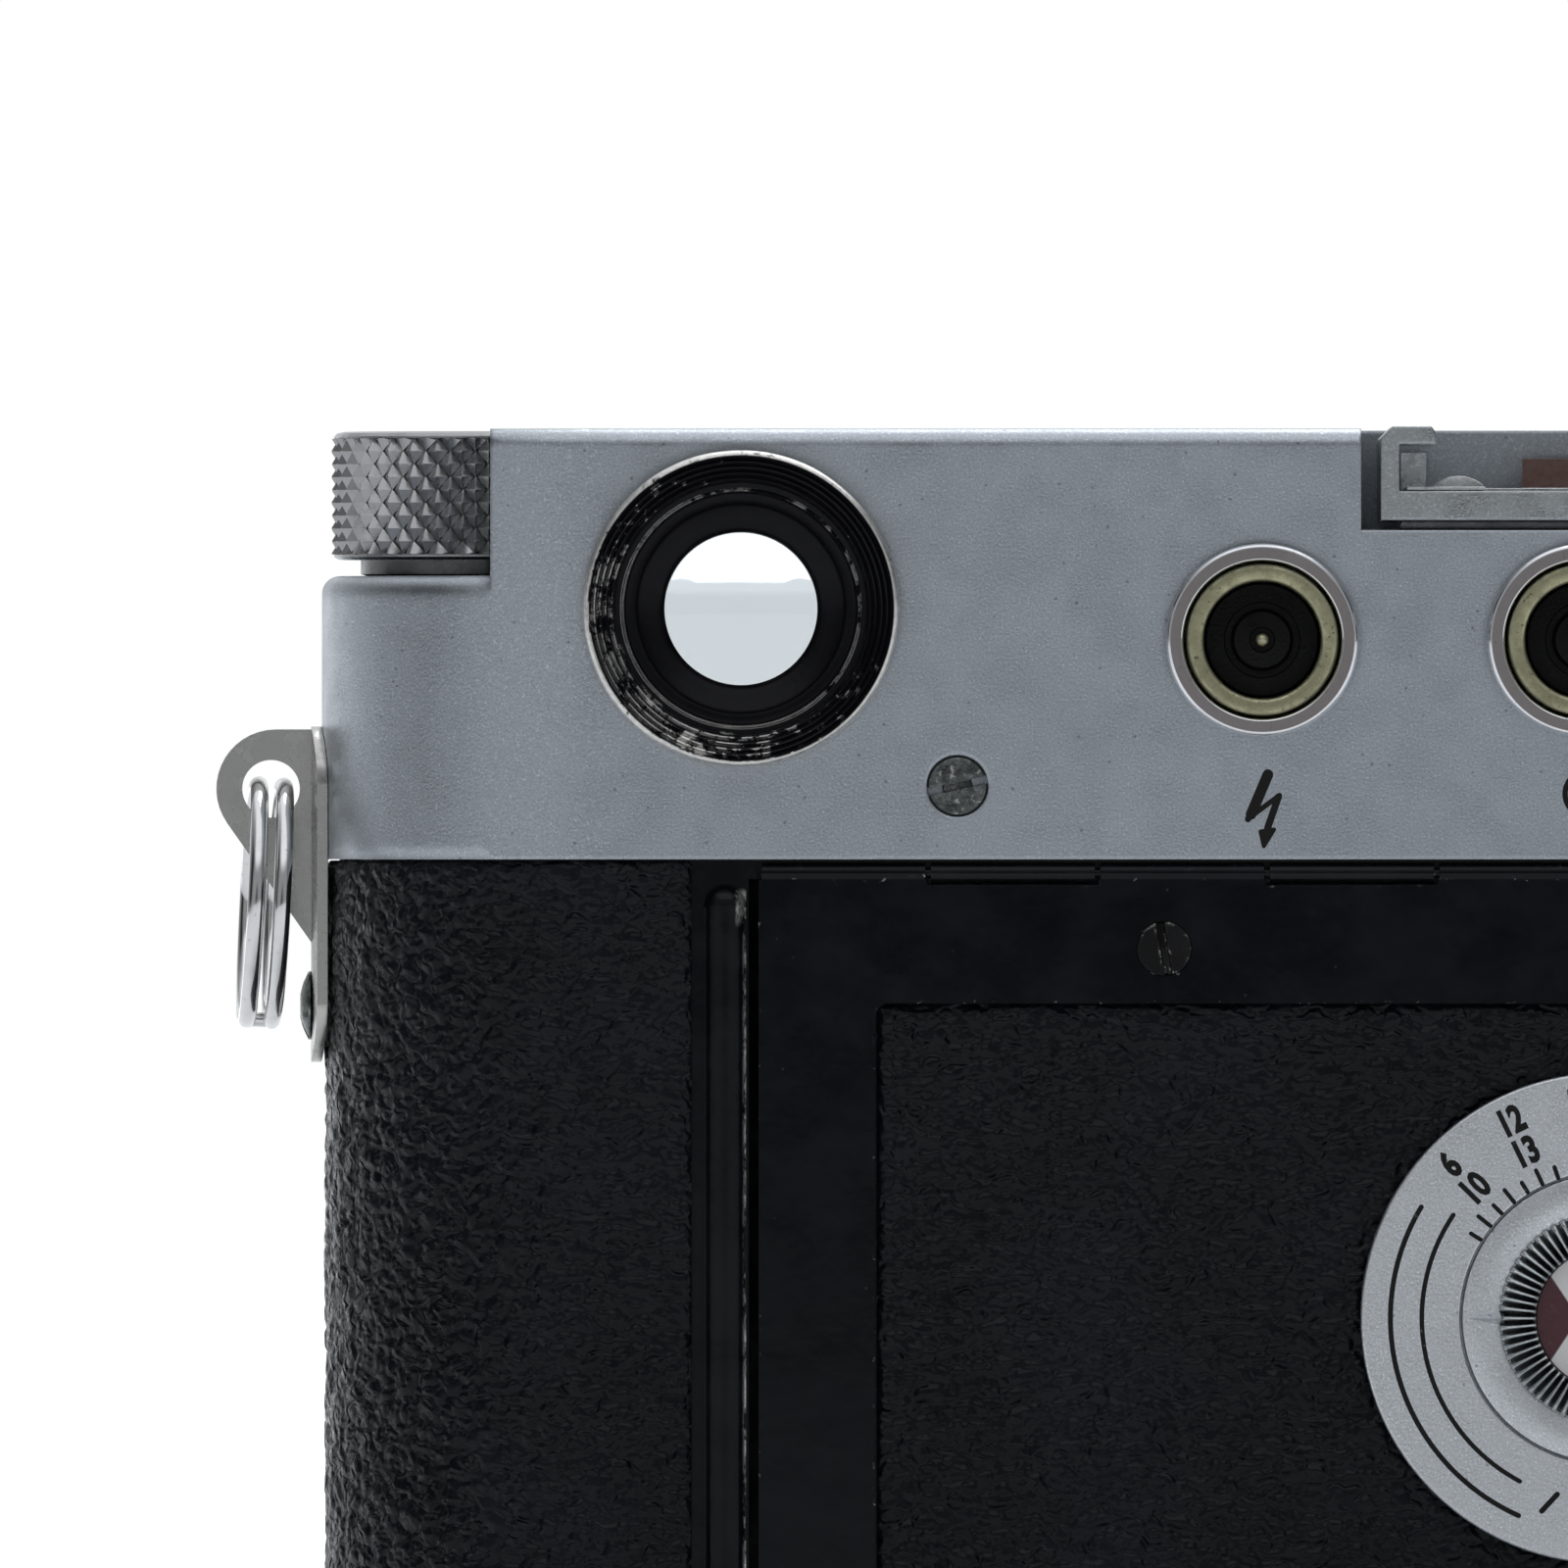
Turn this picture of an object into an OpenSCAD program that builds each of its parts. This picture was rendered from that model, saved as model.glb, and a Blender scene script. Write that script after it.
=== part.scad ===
// Coupled-rangefinder 35 mm camera with a fast-fifty style lens, as separate assembled pieces.
// X runs along the body with the rewind end at +X, the lens looks along -Y, and +Z is up.
// The origin is at the centre of the base plate's underside.

/* [Body] */
// Length of the body between its round ends
body_w = 138; // [137:0.5:140]
// Depth of the body, front to back
body_d = 30; // [30:0.1:30.5]
// Height of the finder deck above the base
body_h = 77; // [76.5:0.5:78]
// Height of the base plate's rim
base_h = 8.6; // [8.2:0.1:8.6]
// Height at which the top cover meets the leather
cover_z = 55; // [55:0.1:55.5]
// Height of the deck that carries the rewind knob
rewind_deck_z = 69.5; // [69.3:0.1:69.6]
// Height of the deck that carries the advance lever
lever_deck_z = 71; // [71:0.1:71.1]

/* [Lens] */
// Height of the lens axis
lens_z = 33; // [33:0.1:33.2]
// Distance of the lens axis from the middle of the body
lens_x = 4; // [3.9:0.1:4.1]
// Outer radius of the focusing ring
focus_r = 23.6; // [23:0.1:24]
// Inner radius of the filter thread
filter_r = 19.1; // [19:0.05:19.2]

/* [Back] */
// Middle of the rear door
door_cx = 3.35; // [3.3:0.05:3.4]
// Width of the rear door
door_w = 86.5; // [86:0.1:86.6]
// Radius of the film speed scale
scale_r = 12.55; // [12:0.05:13]
// Outer radius of the eyepiece
eyepiece_r = 8.1; // [7.8:0.1:8.2]
// Outer radius of a flash socket's ring
socket_r = 4.93; // [4.6:0.01:5]

/* [Controls] */
// Radius of the rewind knob
knob_r = 7.8; // [7.4:0.1:7.9]
// Radius of the shutter speed dial
dial_r = 7.4; // [7:0.1:7.4]
// Radius of the shutter release button
button_r = 2.6; // [2.5:0.05:2.6]

/* [Hidden] */
$fn = 96;
e = 0.02;

// Walls and stadium outline
out_r = body_d / 2;
end_x = body_w / 2 - out_r;
cover_t = 0.8;
deck_t = 1;
shell_r = out_r - 0.9;
shell_t = 1.1;
shell_z0 = 1.6;
shell_z1 = 60;
crate_r = shell_r - shell_t - 0.1;
edge_f = 0.9;

// Levels inside the top cover
deck_z = 58.5;
deck_top = 60;
gear_z = 61;
gear_h = 1.5;

// Raised part of the top cover, from the speed dial to the rewind knob
rise_x0 = -27;
rise_x1 = 60.3;
knob_x = 60.75;
knob_well_r = 8.3;

// Lever, dial, counter and sprocket axes
hub_x = -51;
hub_r = 7.4;
dial_at = [-35.6, -1];
counter_at = [-61, -4];
window_at = [-63.2, -1.2];
window_r = 1.6;
sprocket_at = [-35.2, 3.8];
drum_at = [-22.6, 2];
roller_at = [33, 2.6];
cassette_x = end_x;

// Gear train: lever gear, idler and sprocket gear, then the rewind pair
gear_m = 0.5;
lever_teeth = 36;
idler_teeth = 16;
sprocket_teeth = 15;
rewind_m = 0.45;
stem_r = 1.5;
rewind_teeth = 15;
train_d = norm(sprocket_at - [hub_x, 0]);
train_ab = gear_m * (lever_teeth + idler_teeth) / 2;
train_bc = gear_m * (idler_teeth + sprocket_teeth) / 2;
train_a = (train_ab * train_ab - train_bc * train_bc + train_d * train_d) / (2 * train_d);
train_h = sqrt(train_ab * train_ab - train_a * train_a);
train_u = (sprocket_at - [hub_x, 0]) / train_d;
idler_at = [hub_x, 0] + train_a * train_u + train_h * [train_u[1], -train_u[0]];

// Film plane and gate
film_y = 9.75;
gate_w = 36;
gate_h = 24;
box_half = 21;

// Rear door and its hinge
door_x0 = door_cx - door_w / 2;
door_x1 = door_cx + door_w / 2;
door_y0 = 13.3;
door_z0 = 9;
door_z1 = 53.95;
bead_w = 2.2;
bead_gap = 0.6;
hinge_y = out_r - 0.5;
hinge_z = 54.3;
knuckle_r = 0.5;
pin_r = 0.25;
leather_edge = 1.3;
inset_x = 5.95;
inset_z0 = 15.3;
inset_z1 = 47.7;
inset_y = 14.4;
door_screw_x = 22.55;
door_screw_z = 50.45;
scale_z = 31.6;
pointer_r = 7.4;
serrated_r = 5.45;
symbol_r = 3.6;
scale_y0 = out_r - 0.03;
scale_y1 = out_r + 0.9;

// Eyepiece, flash sockets and cover screw on the back
eye_at = [47.5, 67.8];
sockets = [[20.9, 66.2], [4.5, 66.2]];
cover_screw = [36.45, 58.75];

// Accessory shoe
shoe_x = 4.3;
shoe_w = 21.1;
shoe_y0 = -4.5;
shoe_y1 = 14.4;
well_z = 71.8;
shoe_lip_z = 77.1;
shoe_screws = [[-5.5, 2], [5.5, 2], [-5.5, 9], [5.5, 9]];

// Front windows: middle x, middle z, width, height
windows = [[47.5, 68, 13, 9.4], [14, 66, 17, 7], [-21, 66, 6.4, 6.4]];

// Front levers: pivot x, pivot z, boss radius
timer = [-41, 42, 5];
rewind_lever = [-26.5, 49.5, 3.6];
selector = [36, 47, 3.4];
release_at = [-23, 24];
pivot_r = 0.9;

// Lens, measured forward from the body's middle plane
flange_h = 18.3;
flange_r = 24;
throat_r = 20.6;
mount_screw_r = 22.5;
head_r = 18.1;
barrel_in_r = 14;
front_h = 54;

// Strap lugs and rings
eye_x = 71.6;
eye_z = 58.6;
ring_r = 6;
wire_r = 0.46;
wire_gap = 0.65;
ring_z = 52.75;

// Lock in the base plate and tripod socket
lock_x = 46;
lock_r = 10;
tripod_x = -50;
tripod_r = 3.175;

// ---- shared shapes ----

module stadium(r) {
    union() {
        for (s = [-1, 1]) translate([s * end_x, 0]) circle(r);
        square([2 * end_x, 2 * r], center = true);
    }
}

module stadium_slab(r, z0, z1) {
    translate([0, 0, z0]) linear_extrude(z1 - z0) stadium(r);
}

// Half section of a slab with its top edge rounded
module top_edge(r, z0, z1, f) {
    intersection() {
        union() {
            translate([0, z0]) square([r, z1 - z0 - f]);
            translate([0, z0]) square([r - f, z1 - z0]);
            translate([r - f, z1 - f]) circle(f);
        }
        translate([0, z0]) square([r, z1 - z0]);
    }
}

module rounded_slab(r, z0, z1, f) {
    union() {
        for (s = [-1, 1]) translate([s * end_x, 0, 0]) rotate_extrude() top_edge(r, z0, z1, f);
        translate([-end_x, 0, 0]) rotate([90, 0, 90]) linear_extrude(2 * end_x) union() {
            top_edge(r, z0, z1, f);
            mirror([1, 0]) top_edge(r, z0, z1, f);
        }
    }
}

module slab_between(r, z0, z1, f, x0, x1) {
    intersection() {
        rounded_slab(r, z0, z1, f);
        translate([x0, -2 * r, z0 - 1]) cube([x1 - x0, 4 * r, z1 - z0 + 2]);
    }
}

module rounded_rect(w, h, r) {
    union() {
        square([w - 2 * r, h], center = true);
        square([w, h - 2 * r], center = true);
        for (x = [-1, 1], y = [-1, 1]) translate([x * (w / 2 - r), y * (h / 2 - r)]) circle(r);
    }
}

module post(at, r, z0, z1) {
    translate([at[0], at[1], z0]) cylinder(r = r, h = z1 - z0);
}

module tube(at, r_out, r_in, z0, z1) {
    difference() {
        post(at, r_out, z0, z1);
        post(at, r_in, z0 - 1, z1 + 1);
    }
}

// Upright shapes turned so that their height runs back, from y0 to y1, at [x, z]
module back_to(at, y0) {
    translate([at[0], y0, at[1]]) rotate([-90, 0, 0]) children();
}

module bar_y(at, r, y0, y1) {
    back_to(at, y0) cylinder(r = r, h = y1 - y0);
}

module tube_y(at, r_out, r_in, y0, y1) {
    difference() {
        bar_y(at, r_out, y0, y1);
        bar_y(at, r_in, y0 - 1, y1 + 1);
    }
}

// A shape drawn in front view, extruded from y0 to y1
module plate_y(y0, y1) {
    translate([0, y1, 0]) rotate([90, 0, 0]) linear_extrude(y1 - y0) children();
}

// The lens axis, with height measured forward from the body's middle plane
module lens_axis() {
    translate([lens_x, 0, lens_z]) rotate([90, 0, 0]) children();
}

module lens_tube(r_out, r_in, h0, h1) {
    lens_axis() difference() {
        translate([0, 0, h0]) cylinder(r = r_out, h = h1 - h0);
        translate([0, 0, h0 - 1]) cylinder(r = r_in, h = h1 - h0 + 2);
    }
}

module sector(r, a0, a1, h0, h1) {
    steps = 6;
    points = [[0, 0], for (i = [0:steps]) 1.2 * r * [cos(a0 + i * (a1 - a0) / steps),
                                                     sin(a0 + i * (a1 - a0) / steps)]];
    translate([0, 0, h0]) linear_extrude(h1 - h0) polygon(points);
}

// A spur gear with straight flanks and room for backlash
module gear(teeth, m, bore, height, turn) {
    r = teeth * m / 2;
    pitch = 360 / teeth;
    root_r = r - 1.2 * m;
    tip_r = r + 0.8 * m;
    outline = [for (i = [0:teeth - 1], p = [[root_r, -0.3], [tip_r, -0.1], [tip_r, 0.1], [root_r, 0.3]])
        p[0] * [cos(turn + (i + p[1]) * pitch), sin(turn + (i + p[1]) * pitch)]];
    difference() {
        linear_extrude(height) polygon(outline);
        translate([0, 0, -1]) cylinder(r = bore, h = height + 2);
    }
}

// Turn that puts a gear in mesh with one at an angle to it, whose own turn is given
function mesh_turn(angle, other_teeth, other_turn, teeth) =
    let (share = (angle - other_turn) * other_teeth / 360)
    angle + 180 - (0.5 - (share - floor(share))) * 360 / teeth;

function heading(from, to) = atan2(to[1] - from[1], to[0] - from[0]);

idler_turn = mesh_turn(heading([hub_x, 0], idler_at), lever_teeth, 0, idler_teeth);
sprocket_turn = mesh_turn(heading(idler_at, sprocket_at), idler_teeth, idler_turn, sprocket_teeth);
fork_turn = mesh_turn(180, rewind_teeth, 0, rewind_teeth);

module slotted_head(r, h, slot_angle) {
    difference() {
        cylinder(r = r, h = h);
        rotate(slot_angle) translate([-r - 1, -0.2, h - 0.45]) cube([2 * r + 2, 0.4, 1]);
    }
}

// ---- body ----

knuckle_len = door_w / 10;

// Hinge knuckles: even stretches belong to the shell and odd ones to the door
module knuckles(first, bore) {
    difference() {
        for (i = [first:2:9]) {
            x0 = door_x0 + i * knuckle_len + 0.15;
            translate([x0, hinge_y, hinge_z]) rotate([0, 90, 0])
                cylinder(r = knuckle_r, h = knuckle_len - 0.3);
            web_y = first == 0 ? shell_r - shell_t + 0.3 : hinge_y - knuckle_r + 0.05;
            web_z = first == 0 ? hinge_z - 0.3 : door_z1 - 0.4;
            web_h = first == 0 ? 0.7 : hinge_z - door_z1 + 0.4;
            web_d = first == 0 ? hinge_y - web_y : 2 * knuckle_r - 0.1;
            translate([x0, web_y, web_z]) cube([knuckle_len - 0.3, web_d, web_h]);
        }
        translate([door_x0 - 1, hinge_y, hinge_z]) rotate([0, 90, 0])
            cylinder(r = bore, h = door_w + 2);
    }
}

module body_shell() {
    color("dimgray") union() {
        difference() {
            stadium_slab(shell_r, shell_z0, shell_z1);
            stadium_slab(shell_r - shell_t, shell_z0 - 1, shell_z1 + 1);
            bar_y([lens_x, lens_z], flange_r - 1.9, -out_r - 1, -8);
            translate([door_x0 - bead_gap + 0.1, 8, door_z0 - 0.2])
                cube([door_w + 2 * bead_gap - 0.2, 10, door_z1 + 0.05 - door_z0 + 0.2]);
            // Rebate behind the hinge knuckles
            translate([door_x0 - 0.1, hinge_y - knuckle_r - 0.15, door_z1 - 1])
                cube([door_w + 0.2, 3, cover_z - door_z1 + 0.9]);
            bar_y(release_at, 3.1, -out_r - 1, -10);
        }
        for (x = [door_x0 - bead_gap - bead_w / 2, door_x1 + bead_gap + bead_w / 2]) {
            post([x, out_r - bead_w / 2], bead_w / 2, door_z0, door_z1 - bead_w / 2 - 0.2);
            translate([x - bead_w / 2, shell_r - 0.4, door_z0])
                cube([bead_w, 0.7, door_z1 - door_z0 - 1.4]);
            translate([x, out_r - bead_w / 2, door_z1 - bead_w / 2 - 0.2]) sphere(bead_w / 2);
        }
        knuckles(0, pin_r + 0.03);
    }
}

module leather_cover() {
    color([0.08, 0.085, 0.1]) difference() {
        stadium_slab(out_r, base_h + 0.2, cover_z - 0.05);
        stadium_slab(shell_r + 0.03, base_h - 1, cover_z + 1);
        translate([door_x0 - bead_gap - bead_w - leather_edge + 0.4, 5, 0])
            cube([door_w + 2 * (bead_gap + bead_w) + 2 * leather_edge - 0.8, 12, 80]);
        bar_y([lens_x, lens_z], flange_r + 0.2, -out_r - 1, -8);
        bar_y(release_at, 3.2, -out_r - 1, -8);
    }
}

module top_cover() {
    well_h = body_h - well_z + 1;
    color([0.72, 0.73, 0.74]) difference() {
        union() {
            difference() {
                union() {
                    slab_between(out_r, cover_z, rewind_deck_z, edge_f, rise_x0, body_w);
                    slab_between(out_r, cover_z, lever_deck_z, edge_f, -body_w, rise_x0 + 1);
                    slab_between(out_r, cover_z, body_h, edge_f, rise_x0, rise_x1);
                }
                slab_between(out_r - cover_t, cover_z - 1, rewind_deck_z - deck_t, 0.4, rise_x0, body_w);
                slab_between(out_r - cover_t, cover_z - 1, lever_deck_z - deck_t, 0.4, -body_w, rise_x0 + 2);
                difference() {
                    slab_between(out_r - cover_t, cover_z - 1, body_h - deck_t, 0.4,
                                 rise_x0 + cover_t, rise_x1 - cover_t);
                    post([knob_x, 0], knob_well_r + cover_t, rewind_deck_z - deck_t, body_h);
                }
                post([knob_x, 0], knob_well_r, rewind_deck_z, body_h + 1);
            }
            // Floor and walls of the accessory shoe's well
            translate([shoe_x - shoe_w / 2 - 1.8, shoe_y0 - 1.9, well_z - cover_t])
                cube([shoe_w + 3.6, out_r - 0.4 - shoe_y0 + 1.9, body_h - deck_t + 0.2 - well_z + cover_t]);
        }
        translate([shoe_x - shoe_w / 2 - 1, shoe_y0 - 1, well_z])
            cube([shoe_w + 2, 2 * out_r, well_h]);
        bar_y(eye_at, 6.3, 10, out_r + 1);
        for (s = sockets) bar_y(s, socket_r - 0.5, 10, out_r + 1);
        bar_y(cover_screw, 0.75, 10, out_r + 1);
        bar_y(cover_screw, 1.58, out_r - 0.35, out_r + 1);
        for (w = windows) plate_y(-out_r - 1, -10) translate([w[0], w[1]])
            square([w[2], w[3]], center = true);
        bar_y([lens_x, lens_z], flange_r + 0.4, -out_r - 1, -10);
        post([knob_x, 0], stem_r + 0.1, cover_z, 80);
        post([hub_x, 0], 5.5, cover_z, 80);
        post(dial_at, 1.9, cover_z, 80);
        post(window_at, window_r, cover_z, 80);
    }
}

module chassis() {
    half = box_half;
    wall = 1.2;
    color("silver") difference() {
        union() {
            stadium_slab(crate_r, deck_z, deck_top);
            // Light box
            difference() {
                translate([lens_x - half - 1, -crate_r, lens_z - half])
                    cube([2 * half + 2, crate_r + 2.5, 2 * half]);
                translate([lens_x - half + 0.2, -crate_r + wall, lens_z - half + wall])
                    cube([2 * half - 0.4, crate_r - wall + 1.3, 2 * half - 2 * wall]);
                bar_y([lens_x, lens_z], flange_r - 2.1, -20, -5);
                translate([lens_x - gate_w / 2 - 1, -1, lens_z - gate_h / 2 - 1])
                    cube([gate_w + 2, 5, gate_h + 2]);
            }
            // Film gate wall with its rails
            difference() {
                union() {
                    translate([-27.9, 8, 8.4]) cube([68.7, 1.5, deck_z - 8.4]);
                    for (z = [-18.3, -13.4, 12.2, 17.3])
                        translate([-26, 9.4, lens_z + z]) cube([64, film_y - 9.4, 1.1]);
                }
                translate([lens_x - gate_w / 2, 5, lens_z - gate_h / 2]) cube([gate_w, 6, gate_h]);
            }
            // Partitions beside the sprocket and the film cassette
            for (x = [-27.9, 40]) translate([x, -12, 8.4]) cube([0.8, 20.5, deck_z - 8.4]);
            // Lower plate with the bearings
            translate([-43, -12, 7.2]) cube([83.8, 24.4, 1.2]);
            // Ribs that carry the light box between the plates
            for (x = [lens_x - half - 1, lens_x + half]) {
                translate([x, -12, 8.3]) cube([1, 12, lens_z - half - 8.2]);
                translate([x, -12, lens_z + half - 0.1]) cube([1, 12, deck_z + 0.2 - lens_z - half]);
            }
            // Posts for the idler gear, the frame counter and the follower arm
            post(idler_at, 0.9, deck_top - 0.1, gear_z + gear_h + 0.4);
            post(counter_at, 0.8, deck_top - 0.1, lever_deck_z - 1.9);
            post([lens_x - 19, -9.2], 0.9, 48.8, lens_z + half - 0.5);
        }
        post([hub_x, 0], 1.55, 50, 70);
        post(sprocket_at, 1.55, 5, 70);
        post(drum_at, 1.25, 5, 70);
        post(roller_at, 1.05, 5, 70);
        post([knob_x, 0], 2.45, 50, 70);
        post([cassette_x, 0], 1.55, 50, 70);
    }
}

module mount_flange() {
    color([0.78, 0.79, 0.8]) difference() {
        union() {
            lens_tube(flange_r, flange_r - 2.1, shell_r + 0.05, flange_h);
            difference() {
                lens_tube(flange_r - 2, throat_r, flange_h - 1.4, flange_h);
                for (a = [0:90:270]) lens_axis() intersection() {
                    sector(flange_r, a - 22, a + 22, flange_h - 2, flange_h + 1);
                    cylinder(r = flange_r - 2.1, h = 40);
                }
            }
        }
        for (a = [45:90:315]) lens_axis() rotate(a) translate([mount_screw_r, 0, 0]) {
            cylinder(r = 0.62, h = 40);
            translate([0, 0, flange_h - 0.7]) cylinder(r = 1.1, h = 5);
        }
    }
}

module slotted_screws() {
    color([0.6, 0.61, 0.62]) union() {
        back_to(cover_screw, out_r - 0.33) slotted_head(1.45, 0.38, 12);
        bar_y(cover_screw, 0.7, shell_r + 0.05, out_r - 0.3);
        for (a = [45:90:315]) lens_axis() rotate(a) translate([mount_screw_r, 0, 0]) {
            translate([0, 0, 14.4]) cylinder(r = 0.58, h = flange_h - 15);
            translate([0, 0, flange_h - 0.65]) slotted_head(1.05, 0.6, 30);
        }
        for (s = shoe_screws) translate([shoe_x + s[0], s[1], 0]) {
            translate([0, 0, 72]) cylinder(r = 0.55, h = 1.3);
            translate([0, 0, 73.22]) slotted_head(1.1, 0.46, 40);
        }
        for (s = [-1, 1]) translate([s * (out_r + end_x + 0.55), 0, 47.5]) rotate([0, s * 90, 0])
            intersection() {
                slotted_head(1.75, 0.55, 20);
                translate([0, 0, -2.9]) sphere(3.5);
            }
    }
}

module window_bezels() {
    color([0.7, 0.71, 0.72]) for (w = windows) difference() {
        union() {
            plate_y(-out_r - 1.1, -out_r - e) translate([w[0], w[1]])
                rounded_rect(w[2] + 2.4, w[3] + 2.4, 0.7);
            plate_y(-out_r - 0.1, -out_r + cover_t) translate([w[0], w[1]])
                square([w[2] - 0.1, w[3] - 0.1], center = true);
        }
        plate_y(-out_r - 2, -out_r + 2) translate([w[0], w[1]])
            rounded_rect(w[2] - 0.8, w[3] - 0.8, 0.4);
    }
}

module window_pane(w) {
    plate_y(-out_r + cover_t + e, -out_r + 1.5) translate([w[0], w[1]])
        square([w[2] + 1, w[3] + 1], center = true);
}

module finder_windows() color([0.75, 0.85, 0.9, 0.4]) for (i = [0, 2]) window_pane(windows[i]);

module illumination_window() color([0.85, 0.87, 0.85]) window_pane(windows[1]);

module eyepiece_ring() {
    profile = [[3.9, 12.6], [6.2, 12.6], [6.2, out_r + e], [eyepiece_r, out_r + e],
               [eyepiece_r, 17.1], [eyepiece_r - 0.2, 17.4], [eyepiece_r - 0.5, 17.25],
               [6.2, 16.3], [6, 15.6], [5.4, 14.9], [4.2, 14.6], [3.9, 14.3]];
    color([0.06, 0.06, 0.07]) back_to(eye_at, 0) rotate_extrude() polygon(profile);
}

module eyepiece_lens() {
    color([0.8, 0.9, 0.95, 0.3]) intersection() {
        bar_y(eye_at, 3.85, 12.8, 14.2);
        translate([eye_at[0], -16, eye_at[1]]) sphere(30.1, $fn = 400);
    }
}

module finder_optics() {
    color([0.75, 0.85, 0.9, 0.4]) union() {
        difference() {
            translate([43, -8, 62.6]) cube([9, 15, 10.4]);
            // Relief for the wall of the rewind knob's well
            post([knob_x, 0], knob_well_r + cover_t + 0.15, 60, 80);
        }
        translate([-26, -11, 62.8]) linear_extrude(7) polygon([[0, 0], [9, 0], [9, 9]]);
    }
}

module socket_rings() color([0.8, 0.81, 0.82]) for (s = sockets) difference() {
    union() {
        bar_y(s, socket_r, out_r + e, out_r + 1.2);
        bar_y(s, socket_r - 0.55, 12.6, out_r + 0.1);
    }
    bar_y(s, 3.95, 10, 20);
}

module socket_bushes() {
    color([0.55, 0.53, 0.38]) for (s = sockets) tube_y(s, 3.9, 3, 12.4, out_r + 0.9);
}

module socket_insulators() color([0.05, 0.05, 0.05]) for (s = sockets) union() {
    bar_y(s, 2.95, 12.4, 13.6);
    bar_y(s, 1.5, 13.5, 14.4);
    bar_y(s, 0.35, 14.3, 15.6);
}

module accessory_shoe() {
    half = shoe_w / 2;
    color([0.68, 0.69, 0.71]) difference() {
        union() {
            translate([shoe_x - half, shoe_y0, 72.3]) cube([shoe_w, shoe_y1 - shoe_y0, 1.5]);
            translate([shoe_x - half + 1, shoe_y0 + 1, well_z + e]) cube([shoe_w - 2, 16, 0.6]);
            for (s = [-1, 1]) translate([shoe_x, shoe_y1, 0]) rotate([90, 0, 0])
                linear_extrude(shoe_y1 - shoe_y0) scale([s, 1]) polygon([
                    [half, 73.7], [half, shoe_lip_z - 0.6], [half - 0.6, shoe_lip_z],
                    [half - 2.6, shoe_lip_z], [half - 2.8, 76.8], [half - 2.8, 76.2],
                    [half - 0.95, 76.2], [half - 0.95, 73.7]]);
        }
        for (s = shoe_screws) translate([shoe_x + s[0], s[1], 0]) {
            cylinder(r = 0.6, h = 80);
            translate([0, 0, 73.2]) cylinder(r = 1.15, h = 2);
        }
    }
}

module shoe_spring() {
    half = shoe_w / 2;
    color([0.62, 0.63, 0.66]) union() {
        for (s = [-1, 1]) {
            translate([shoe_x + s * (half - 3.35) - 2, -2, 73.85]) cube([4, 15.6, 0.17]);
            plate_y(5, 8) translate([shoe_x + s * 6.5, 0]) intersection() {
                translate([0, 72.65]) circle(1.95);
                translate([-1.25, 73.9]) square([2.5, 1]);
            }
            translate([shoe_x + s * (half - 1.85) - 0.65, -3.4, 73.85]) cube([1.3, 0.5, 2]);
        }
        translate([shoe_x - 3.1, -3.4, 73.85]) cube([6.2, 0.5, 1.7]);
        translate([shoe_x - half + 1.35, -3.4, 73.85]) cube([shoe_w - 2.7, 1.6, 0.17]);
    }
}

module strap_lug() {
    color([0.66, 0.65, 0.63]) difference() {
        union() {
            intersection() {
                difference() {
                    translate([end_x, 0, 44.6]) cylinder(r = out_r + 0.55, h = 17.2);
                    translate([end_x, 0, 40]) cylinder(r = out_r + e, h = 30);
                }
                translate([60, 0, 0]) rotate([90, 0, 90]) linear_extrude(12)
                    translate([0, 53.2]) rounded_rect(6.4, 17.2, 3);
            }
            plate_y(-0.9, 0.9) union() {
                translate([eye_x - 0.25, eye_z]) circle(3.05);
                polygon([[end_x + out_r + 0.3, 61.65], [eye_x - 0.25, 61.65], [eye_x + 2.24, 56.83],
                         [end_x + out_r + 0.3, 50.4]]);
            }
        }
        translate([eye_x, -3, eye_z]) rotate([-90, 0, 0]) cylinder(r = 1.48, h = 6);
        translate([end_x, 0, 40]) cylinder(r = out_r + e, h = 30);
    }
}

module strap_lugs() {
    strap_lug();
    mirror([1, 0, 0]) strap_lug();
}

module strap_ring() {
    color([0.8, 0.81, 0.82]) translate([eye_x, 0, eye_z]) rotate([0, -3, 0]) rotate([0, 0, 2.5])
        translate([0, 0, ring_z - eye_z]) union() {
            for (s = [-1, 1]) translate([s * wire_gap, 0, 0]) rotate([0, 90, 0]) rotate_extrude()
                translate([ring_r, 0]) circle(wire_r, $fn = 32);
            translate([-wire_gap, 0, -ring_r]) rotate([0, 90, 0])
                cylinder(r = 0.8 * wire_r, h = 2 * wire_gap);
        }
}

module strap_ring_rewind_end() strap_ring();

module strap_ring_lever_end() mirror([1, 0, 0]) strap_ring();

module hinge_pin() {
    color("gray") translate([door_x0 + 0.2, hinge_y, hinge_z]) rotate([0, 90, 0])
        cylinder(r = pin_r, h = door_w - 0.4);
}

// ---- shutter, film transport and rewind ----

module shutter_curtain() {
    color([0.1, 0.1, 0.1]) translate([drum_at[0], drum_at[1] + 4.05, lens_z - 14])
        cube([roller_at[0] - drum_at[0], 0.25, 28]);
}

module curtain_drum() color("silver") union() {
    post(drum_at, 4, 12, 54);
    post(drum_at, 1.2, 7.4, deck_top);
}

module curtain_roller() color("silver") union() {
    post(roller_at, 3.4, 12, 54);
    post(roller_at, 1, 7.4, deck_top);
}

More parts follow.
